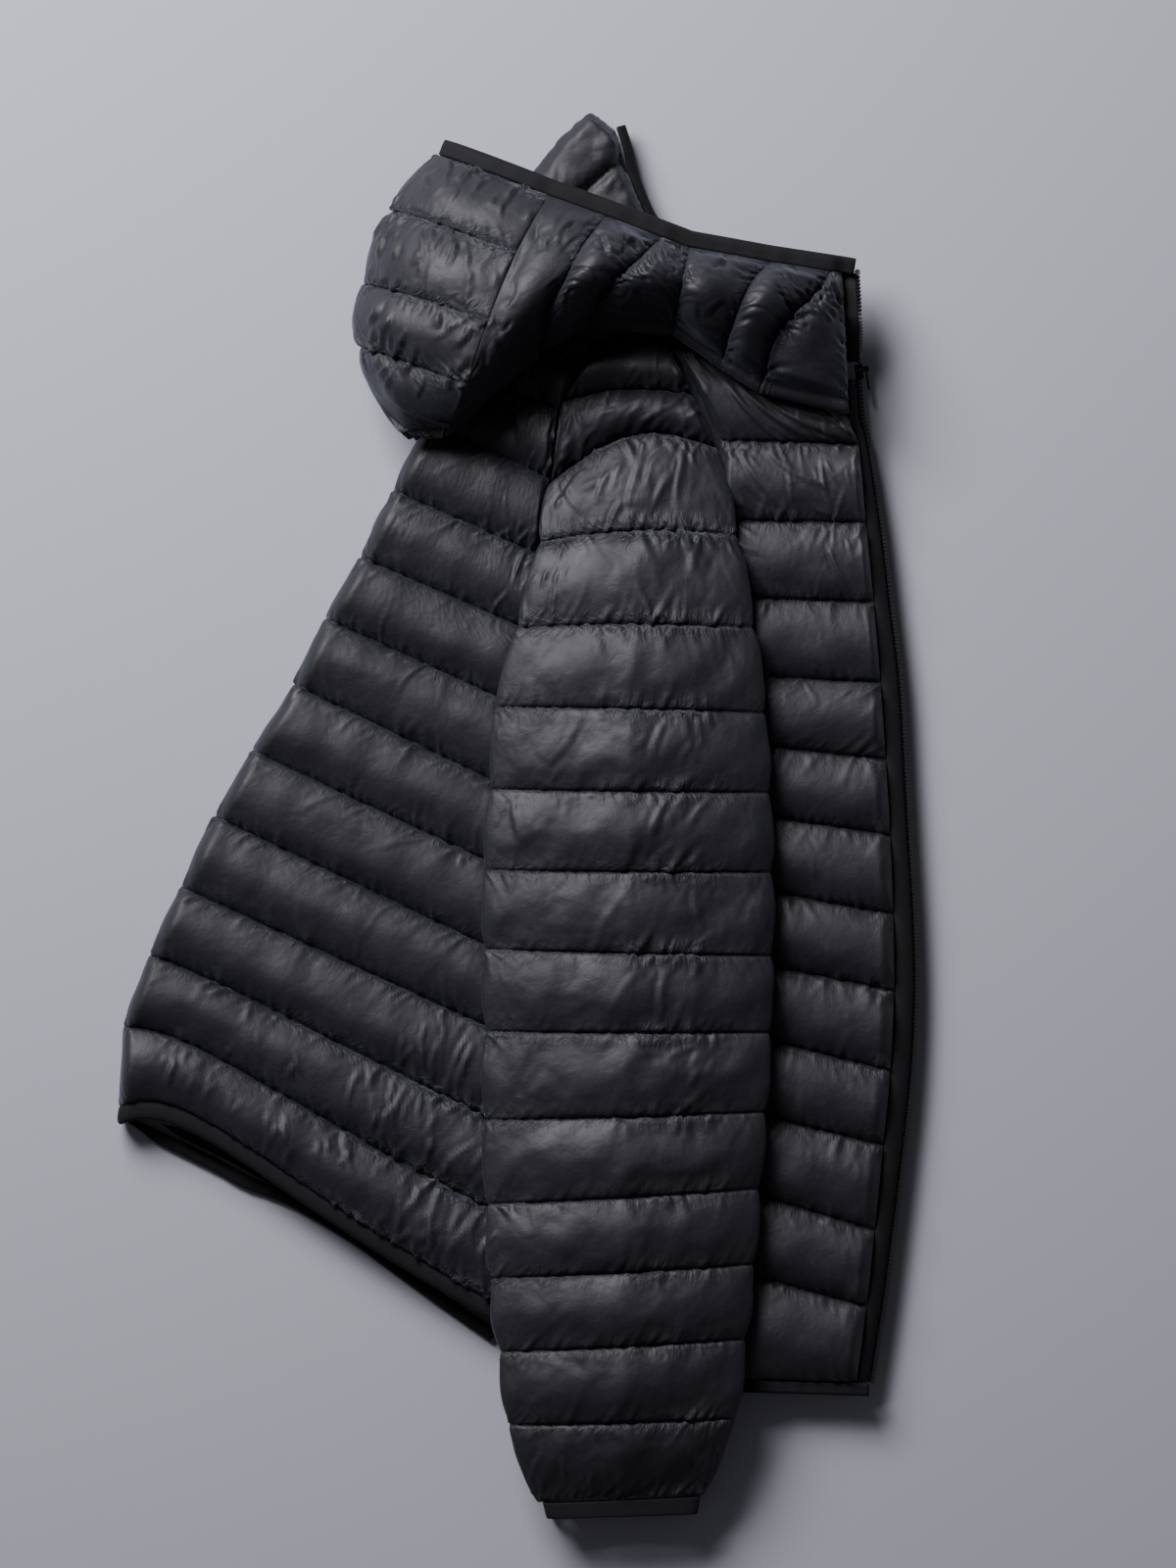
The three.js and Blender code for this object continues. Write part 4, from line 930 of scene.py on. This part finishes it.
quilted("back_right", lambda count: backGrid(backLines, foldSteps=25, columns=180),
        21, backAmount)
quilted("front_right", lambda count: panelGrid(frontLines, lineOnFront, evenly(count)), 22, frontAmount)
quilted("shoulder_right", shoulderInside, 23, lambda grid, places: 1.3)
quilted("sleeve_right", lambda count: sleeveGrid(sleeveLines, count), 24, sleeveAmount)
quilted("hood_side_right", sideInside, 25, hoodAmount, rolled="columns")
quilted("hood_centre", stripInside, 26, lambda grid, places: 2.0, rolled="rows")
print("quilted pieces made")

# Hidden soft solids: their edges show, so they get the same channels

def linesAt(table, x):
    x0, y0, x1, y1 = table.T[:4, None, :]
    return y0 + (y1 - y0) * (x[:, None] - x0) / (x1 - x0)


def placeOf(x, y):
    # which channel of the body lies at x, y
    lines = np.where(x[:, None] < 68, linesAt(backLines, x), linesAt(frontLines[:-1], x))
    return np.array([np.interp(-at, -row, np.arange(13.0)) for at, row in zip(y, lines)])


def softened(node, voxel, shapeAt):
    source = bpy.data.objects[node]
    work = bmesh.new()
    work.from_mesh(source.data)
    bmesh.ops.remove_doubles(work, verts=work.verts, dist=1e-5)
    mesh = bpy.data.meshes.new(node + "_start")
    work.to_mesh(mesh)
    work.free()
    start = addPiece(node + "_start", mesh)
    remesh = start.modifiers.new("Remesh", "REMESH")
    remesh.mode = "VOXEL"
    remesh.voxel_size = voxel * toMetres
    relax = start.modifiers.new("Smooth", "SMOOTH")
    relax.factor = 0.5
    relax.iterations = 7
    evaluated = start.evaluated_get(bpy.context.evaluated_depsgraph_get())
    mesh = bpy.data.meshes.new_from_object(evaluated)
    bpy.data.objects.remove(start)
    count = len(mesh.vertices)
    points = np.empty(count * 3, np.float32)
    normals = np.empty(count * 3, np.float32)
    mesh.vertices.foreach_get("co", points)
    mesh.vertices.foreach_get("normal", normals)
    points = fromScene(points.reshape(-1, 3).astype(float))
    normals = normals.reshape(-1, 3).astype(float)
    points = shapeAt(points, normals)
    rests = (points[:, 2] < 2.0) & (normals[:, 2] < -0.5)
    points[rests, 2] = 0.0
    points[:, 2] = np.maximum(points[:, 2], 0)
    mesh.vertices.foreach_set("co", toScene(points).astype(np.float32).reshape(-1))
    mesh.materials.clear()
    mesh.materials.append(nylon)
    for face in mesh.polygons:
        face.use_smooth = True
    mesh.update()
    piece = addPiece("soft_" + node, mesh)
    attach(piece, "jacket")
    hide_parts(node)


def leftHalfShape(points, normals):
    full = fullness(placeOf(points[:, 0], points[:, 1]))[:, 0]
    side = 1 - smooth(np.abs(normals[:, 2]), 0.3, 0.8)
    up = smooth(normals[:, 2], 0.2, 0.8)
    sideways = side * (2.4 * full - 1.8 + 0.3 * softNoise(points, 45, 9))
    out = points + normals * (sideways * (points[:, 2] > 0.8))[:, None]
    # past the near hem only the thin far layer is left
    hemY = np.interp(points[:, 0], [-245, -225, -190, -150, -100, -40, 10, 68],
                     [-184, -192, -202, -215, -241, -282, -315, -352])
    beyond = smooth(hemY - points[:, 1], -7, 1) * (points[:, 0] < 5)
    out[:, 2] = np.where(up > 0, mix(out[:, 2], np.minimum(out[:, 2], 4.0), beyond * up), out[:, 2])
    return out


peakCreases = np.array([
    (560, 198, 566, 166, 2.0, 1.3), (571, 200, 577, 168, 1.9, 1.3), (583, 203, 587, 172, 1.9, 1.4),
    (548, 196, 556, 176, 1.6, 1.1), (608, 160, 620, 172, 1.6, 0.9), (622, 140, 634, 152, 1.8, 0.8),
    (594, 200, 594, 178, 1.8, 1.2), (602, 150, 628, 142, 2.6, 0.7), (575, 150, 600, 128, 3.0, 0.6),
    (618, 196, 626, 178, 1.8, 1.4), (630, 196, 634, 180, 1.8, 1.3), (640, 205, 643, 186, 1.8, 1.0),
], float)


def farHoodShape(points, normals):
    up = smooth(normals[:, 2], 0.1, 0.7)
    px = points[:, 0] / photo["mmPerPixel"] + photo["zeroX"]
    py = photo["zeroY"] - points[:, 1] / photo["mmPerPixel"]
    # one stitch line crosses the peak; the cloth puffs above and below it
    off = (py - 163) + (px - 634) * 0.85
    valley = np.exp(-(off / 5.5) ** 2)
    dome = smooth(-off, 0, 26) * smooth(off, -95, -38)
    out = points.copy()
    lines = 1.6 * dragField(points, peakCreases) + 0.35 * softNoise(points, 44, 7)
    out[:, 2] += up * (lines + 3.0 * dome - 5.0 * valley * smooth(px, 575, 600))
    # the strip's stitch lines carry on round its far half, and more run down to the zip
    stripLines = [218 + 0.376 * (px - 403), 288 + 0.328 * (px - 375), 360 + 0.37 * (px - 372)]
    toStrip = np.min([np.abs(py - line) for line in stripLines], axis=0)
    toSide = np.min([np.abs(px - line) for line in (673, 730, 790)], axis=0)
    toLine = np.where(px < 570, toStrip, np.where(px > 645, toSide, np.abs(off)))
    side = 1 - smooth(np.abs(normals[:, 2]), 0.3, 0.8)
    layers = 0.35 + 0.65 * np.abs(np.sin(np.pi * points[:, 2] / 13.5)) ** 0.7
    slanted = points + points[:, 2:] * (0.7, 0.4, 0)
    puff = mix(2.6, 5.4, np.maximum(smooth(px, 590, 520), smooth(py, 205, 250)))
    outwards = side * (puff * (1 - np.exp(-(toLine / 12) ** 2)) * layers - 1.6
                       + 0.4 * softNoise(slanted, 46, 7))
    out += normals * ((outwards + 0.6 * softNoise(points, 41, 22)) * (points[:, 2] > 1))[:, None]
    return out


def innerHoodShape(points, normals):
    return points - normals * (0.8 + 0.8 * softNoise(points, 43, 18))[:, None] * (
        normals[:, 2:] > -0.3)


softened("left_half", 4.0, leftHalfShape)
softened("hood_left", 2.6, farHoodShape)
softened("hood_inner", 3.4, innerHoodShape)
print("hidden halves softened")

# Bands, folded once over the edges of the cloth

def closedSheet(name, grid, thickness, material, wrap=False):
    # both faces of a thin sheet and its cut edges; the grid is the face that shows
    under = grid - normalsOf(grid, wrap) * thickness
    verts = toScene(np.concatenate([grid.reshape(-1, 3), under.reshape(-1, 3)]))
    faces = shellFaces(len(grid), len(grid), grid.shape[1], wrap)
    mesh = bpy.data.meshes.new(name)
    mesh.from_pydata(verts.tolist(), [], faces)
    work = bmesh.new()
    work.from_mesh(mesh)
    bmesh.ops.recalc_face_normals(work, faces=work.faces)
    if work.calc_volume(signed=True) < 0:
        bmesh.ops.reverse_faces(work, faces=work.faces)
    for face in work.faces:
        face.smooth = True
    work.to_mesh(mesh)
    work.free()
    mesh.materials.append(material)
    return addPiece(name, mesh)


def declareBand(piece, node):
    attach(piece, "jacket")
    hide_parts(node)


def throughPoints(points, step=2.0):
    # a smooth path through given points, evenly spaced
    points = np.array(points, float)
    if len(points) > 2:
        path = curveThrough(points, np.linspace(0, 1, 40 * len(points)))
    else:
        path = mix(points[0], points[1], np.linspace(0, 1, 80)[:, None])
    far = np.concatenate([[0], np.cumsum(np.linalg.norm(np.diff(path, axis=0), axis=1))])
    even = np.linspace(0, far[-1], max(3, int(far[-1] / step)))
    return np.stack([np.interp(even, far, path[:, k]) for k in range(3)], axis=1), far[-1]


def foldedSection(width, height):
    # leg under the edge, round the edge, leg on top: outwards and up
    bend = [(width - height / 2 + math.sin(a) * height / 2, height / 2 - math.cos(a) * height / 2)
            for a in np.linspace(0.3, math.pi - 0.3, 7)]
    inset = width - height / 2
    legs = np.linspace(0, inset, 5)
    return np.array([(x, 0.0) for x in legs] + bend + [(x, height) for x in legs[::-1]])


def pathBand(points, section, side, seed, narrowing=None):
    path, length = throughPoints(points)
    along = np.gradient(path, axis=0)
    along[:, 2] = 0
    along /= np.linalg.norm(along, axis=1, keepdims=True)
    outwards = np.stack([along[:, 1], -along[:, 0], np.zeros(len(path))], axis=1) * side
    rng = np.random.default_rng(seed)
    u = np.arange(len(path)) * 2.0
    ripple = sum(rng.uniform(0.03, 0.12) * np.sin(u * 2 * np.pi / rng.uniform(7, 40) + rng.uniform(0, 6))
                 for _ in range(7))
    scale = np.ones(len(path)) if narrowing is None else narrowing(u / length)
    across = section[None, :, 0] * scale[:, None]
    up = section[None, :, 1] + ripple[:, None] * (section[None, :, 1] > 0.5)
    grid = path[:, None, :] + outwards[:, None, :] * across[..., None]
    grid[..., 2] += up
    return grid, length


bands = {"thickness": 0.9, "cuffThickness": 1.2, "hoodWidth": 9.4, "hoodHeight": 7.0,
         "hemWidth": 7.6, "hemHeight": 3.4, "farHemHeight": 4.4, "farHood": (5.0, 10.0)}


def foldedBand(name, node, points, width, height, side, seed, restsOn, narrowing=None):
    section = foldedSection(width, height)
    grid, length = pathBand(points, section, side, seed, narrowing)
    piece = closedSheet(name, grid, bands["thickness"], elastic)
    declareBand(piece, node)


opening = hoodGrid(np.concatenate([[0.02, 0.08, 0.18, 0.32, 0.5, 0.75], np.arange(1, 7.01, 0.25)]),
                   np.array([0.0]))[:, 0]
opening = opening + (0.2, 0.35, -bands["hoodHeight"] + 0.6)
opening = np.vstack([opening, opening[-1] + (6.6, -1.1, -1.5)])
foldedBand("elastic_hood_opening", "hood_binding_right", opening, bands["hoodWidth"], bands["hoodHeight"],
           -1, 51, "quilt_hood_side_right")

farEdge = [(61.5, 421.5, 8), (65.5, 409, 8), (68.6, 395.5, 8), (74.4, 379, 8), (82.5, 363, 8),
           (96.5, 350.5, 8)]
foldedBand("elastic_hood_far_edge", "hood_binding_left", farEdge, *bands["farHood"],
           -1, 52, "soft_hood_left")

hemPath = [(69.1, -345.1, 20), (138, -347.2, 20), (216.5, -349.6, 20)]
foldedBand("elastic_hem_front", "hem_binding_front", hemPath, bands["hemWidth"], bands["hemHeight"],
           1, 53, "quilt_front_right")

farHem = [(-237.5, -187.6, 1.2), (-214, -198.2, 1.2), (-184, -212.8, 1.2), (-166, -222.9, 1.2),
          (-136, -235.2, 1.2), (-100, -256.4, 1.2), (-76, -273.3, 1.2), (-46, -295, 1.2),
          (-12, -318.5, 1.2)]
foldedBand("elastic_hem_far", "hem_binding_left", farHem, bands["hemWidth"], bands["farHemHeight"],
           1, 54, "soft_left_half", narrowing=lambda share: mix(0.45, 1.0, smooth(share, 0, 0.09)))


def nearHemGrid():
    # the band carries on below the last row of the back, round the fold too
    last = backLines[-1]
    rows = []
    levels = [(0.35, 0.0), (3.5, 0.0), (7.2, 0.0), (9.0, 0.06), (10.0, 0.22), (10.5, 0.5), (10.1, 0.78),
              (9.2, 0.94), (7.2, 1.08), (3.5, 1.1), (0.35, 1.0)]
    for down, share in levels:
        line = last[None, :].copy()
        line[:, 0] -= 0.1 * down
        line[:, 1] -= down
        line[:, 3] -= down
        outer = backGrid(line, np.zeros((1, 1)), foldSteps=25, columns=150)[0]
        inner = backGrid(line, foldSteps=25, columns=150)[0]
        rows.append(mix(inner, outer, share))
    return np.array(rows)


grid = nearHemGrid()
piece = closedSheet("elastic_hem_back", grid, bands["thickness"], elastic)
declareBand(piece, "hem_binding_back")


def cuffGrid(under, height, around=120):
    angle = 2 * np.pi * np.arange(around) / around
    top = np.array([(16.3, -422.0), (112.8, -418.0)])
    bottom = np.array([(18.8, -431.5), (111.2, -428.6)])
    rows = []
    for down, reach in [(0, 1), (0.1, 1), (0.3, 1), (0.55, 1), (0.8, 1), (0.94, 0.99), (1, 0.965)]:
        left, right = mix(top[0], bottom[0], down), mix(top[1], bottom[1], down)
        share = 0.5 + 0.5 * np.cos(angle) * mix(1, reach, 0.3)
        xy = left[None, :] + (right - left)[None, :] * share[:, None]
        up = np.sign(np.sin(angle)) * np.abs(np.sin(angle)) ** 0.4
        z = under + height / 2 + height / 2 * up * reach
        rows.append(np.column_stack([xy, z]))
    return np.array(rows)


for node, under, height, restsOn in (("cuff_right", 21.2, 14.0, "quilt_sleeve_right"),
                                     ("cuff_left", 0.0, 16.0, "soft_left_half")):
    grid = cuffGrid(under, height)
    piece = closedSheet("elastic_" + node, grid, bands["cuffThickness"], elastic, wrap=True)
    declareBand(piece, node)
print("bands folded")

# The zip: its tapes, and a chain of small blocks made by Geometry Nodes

zipSizes = {"height": 13.4, "tape": 1.1, "openTape": 1.0, "pitch": 2.4}
chainTop = np.array([(204.0, 266.65, 204.0, 266.65, 210.9)])
zipRows = np.concatenate([chainTop, frontLines])


def smoothRows(rows, perRow=12):
    t = np.linspace(0, 1, perRow * (len(rows) - 1) + 1)
    return curveThrough(rows, t)


def tapeGrid(topAtSeam, topAtChain):
    rows = smoothRows(zipRows[:, 2:5])
    t = np.linspace(0, 1, 9)[None, :]
    x = mix(rows[:, 0:1] + 0.35, rows[:, 2:3] - 1.65, t)
    y = rows[:, 1:2] + 0 * t
    z = mix(topAtSeam, topAtChain, t * t) + 0 * y
    return np.stack([x, y, z], axis=2)


for node, atSeam, atChain, restsOn in (("zip_tape_right", 22.6, 15.6, "quilt_front_right"),
                                       ("zip_tape_left", 5.2, 12.8, "soft_left_half")):
    grid = tapeGrid(atSeam, atChain)
    piece = closedSheet("woven_" + node, grid, zipSizes["tape"], zipTape)
    declareBand(piece, node)


def openZipPath(out, steps=60):
    t = np.linspace(0.66, 0.0, steps)
    p = hoodGrid(np.array([7.0]), t)[0]
    z = mix(18, p[:, 2] - 8, smooth(1 - t, 0.3, 0.7))
    return np.column_stack([p[:, 0] + out, p[:, 1], z])


edge = openZipPath(0.4)
outer = openZipPath(8.4)
share = np.array([0, 0, 0.17, 0.34, 0.5, 0.67, 0.84, 1.0])[None, :, None]
grid = mix(edge[:, None, :], outer[:, None, :], share)
grid[..., 2] += 1.6 + 0.7 * np.sin(np.pi * share[..., 0])
grid[:, 0, 2] -= 2.6  # its edge turns down into the seam
piece = closedSheet("woven_zip_tape_open", grid, zipSizes["openTape"], zipTape)
declareBand(piece, "zip_tape_open")


def lineObject(name, paths):
    # loose edges that a node tree reads
    verts, edges = [], []
    for path in paths:
        start = len(verts)
        verts += toScene(path).tolist()
        edges += [(start + i, start + i + 1) for i in range(len(path) - 1)]
    mesh = bpy.data.meshes.new(name)
    mesh.from_pydata(verts, edges, [])
    mesh.update()
    return addPiece(name, mesh)


def repeatTree(name, build, material):
    # one small shape repeated along every path of a mesh of loose edges
    tree = bpy.data.node_groups.new(name, "GeometryNodeTree")
    tree.interface.new_socket(name="Geometry", in_out="INPUT", socket_type="NodeSocketGeometry")
    tree.interface.new_socket(name="Geometry", in_out="OUTPUT", socket_type="NodeSocketGeometry")
    spacing = tree.interface.new_socket(name="Spacing", in_out="INPUT", socket_type="NodeSocketFloat")
    size = tree.interface.new_socket(name="Size", in_out="INPUT", socket_type="NodeSocketVector")
    enter = addNode(tree, "NodeGroupInput")
    leave = addNode(tree, "NodeGroupOutput")
    curve = addNode(tree, "GeometryNodeMeshToCurve", links={"Mesh": enter.outputs["Geometry"]})
    points = addNode(tree, "GeometryNodeResampleCurve", {"mode": "LENGTH"}, links={
        "Curve": curve.outputs["Curve"], "Length": enter.outputs["Spacing"]})
    tangent = addNode(tree, "GeometryNodeInputTangent")
    turn = addNode(tree, "FunctionNodeAlignRotationToVector", {"axis": "X"}, links={
        "Vector": tangent.outputs["Tangent"]})
    shape = build(tree, enter.outputs["Size"])
    copies = addNode(tree, "GeometryNodeInstanceOnPoints", links={
        "Points": points.outputs["Curve"], "Instance": shape, "Rotation": turn.outputs["Rotation"]})
    real = addNode(tree, "GeometryNodeRealizeInstances", links={"Geometry": copies.outputs["Instances"]})
    finish = addNode(tree, "GeometryNodeSetMaterial", {}, {"Material": material},
                     {"Geometry": real.outputs["Geometry"]})
    tree.links.new(finish.outputs["Geometry"], leave.inputs["Geometry"])
    return tree, spacing.identifier, size.identifier


def makeRepeat(name, paths, build, material, spacing, size):
    tree, spacingId, sizeId = repeatTree(name + "_nodes", build, material)
    carrier = lineObject(name + "_paths", paths)
    modifier = carrier.modifiers.new("Repeat", "NODES")
    modifier.node_group = tree
    modifier[spacingId] = spacing * toMetres
    modifier[sizeId] = [v * toMetres for v in size]
    evaluated = carrier.evaluated_get(bpy.context.evaluated_depsgraph_get())
    mesh = bpy.data.meshes.new_from_object(evaluated)
    mesh.name = name
    bpy.data.objects.remove(carrier)
    piece = addPiece(name, mesh)
    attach(piece, "jacket")
    return piece


def threadShape(tree, size):
    ball = addNode(tree, "GeometryNodeMeshUVSphere", inputs={"Segments": 6, "Rings": 4, "Radius": 0.5})
    moved = addNode(tree, "GeometryNodeTransform", links={
        "Geometry": ball.outputs["Mesh"], "Scale": size})
    return moved.outputs["Geometry"]


def toothShape(tree, size):
    block = addNode(tree, "GeometryNodeMeshCube", links={"Size": size})
    return block.outputs["Mesh"]


stitch = {"pitch": 3.3, "size": (2.5, 0.5, 0.5)}
stitches = makeRepeat("quilting_stitches", seamPaths, threadShape, thread, stitch["pitch"], stitch["size"])

chain = smoothRows(zipRows[:, 3:5], 20)
chainPath = np.column_stack([chain[:, 1], chain[:, 0], np.full(len(chain), zipSizes["height"])])
teeth = makeRepeat("zip_teeth", [chainPath], toothShape, coil, zipSizes["pitch"], (1.5, 2.6, 5.4))
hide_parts("zip_chain")
openPath = openZipPath(9.4) + (0, 0, 1.5)
openTeeth = makeRepeat("zip_teeth_upper", [openPath], toothShape, coil, zipSizes["pitch"],
                       (1.2, 2.2, 2.8))
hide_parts("zip_teeth_open")
print("zip and stitches made")

# Metal parts keep their construction shape
finishes = {"zip_top_stop": paleZinc, "zip_slider": darkZinc, "zip_pull": darkZinc}
for name, material in finishes.items():
    for slot in bpy.data.objects[name].material_slots:
        slot.material = material

# Floor, light and camera

bpy.ops.mesh.primitive_plane_add(size=8, location=(0, 0, 0))
floor = bpy.context.object
floor.name = "floor"
floor.data.materials.append(plainMaterial("pale_paper_backdrop", {
    "Base Color": linear("#b0b1ba"), "Roughness": 0.9}))

key = {"place": (-0.82, 1.38, 1.38), "size": (1.2, 1.0), "power": 79, "colour": "#fbfaff"}
light = bpy.data.lights.new("key_softbox", "AREA")
light.shape = "RECTANGLE"
light.size, light.size_y = key["size"]
light.energy = key["power"]
light.color = linear(key["colour"])[:3]
lamp = addPiece("key_softbox", light)
lamp.location = key["place"]
lamp.rotation_euler = (-lamp.location).to_track_quat("-Z", "Y").to_euler()

world = bpy.data.worlds.new("studio")
world.use_nodes = True
background = world.node_tree.nodes["Background"]
background.inputs["Color"].default_value = linear("#cbcad3")
background.inputs["Strength"].default_value = 0.12
bpy.context.scene.world = world

lens = {"length": 180.0, "sensor": 36.0}
camera = bpy.data.cameras.new("camera")
camera.lens = lens["length"]
camera.sensor_fit = "AUTO"
camera.sensor_width = lens["sensor"]
camera.clip_end = 20
frameHeight = photo["height"] * photo["mmPerPixel"] * toMetres
stand = addPiece("camera", camera)
middleX, middleY = fromPhoto(photo["width"] / 2, photo["height"] / 2)
stand.location = ((middleX + tableShift[0]) * toMetres, (middleY + tableShift[1]) * toMetres,
                  0.03 + frameHeight * lens["length"] / lens["sensor"])
bpy.context.scene.camera = stand
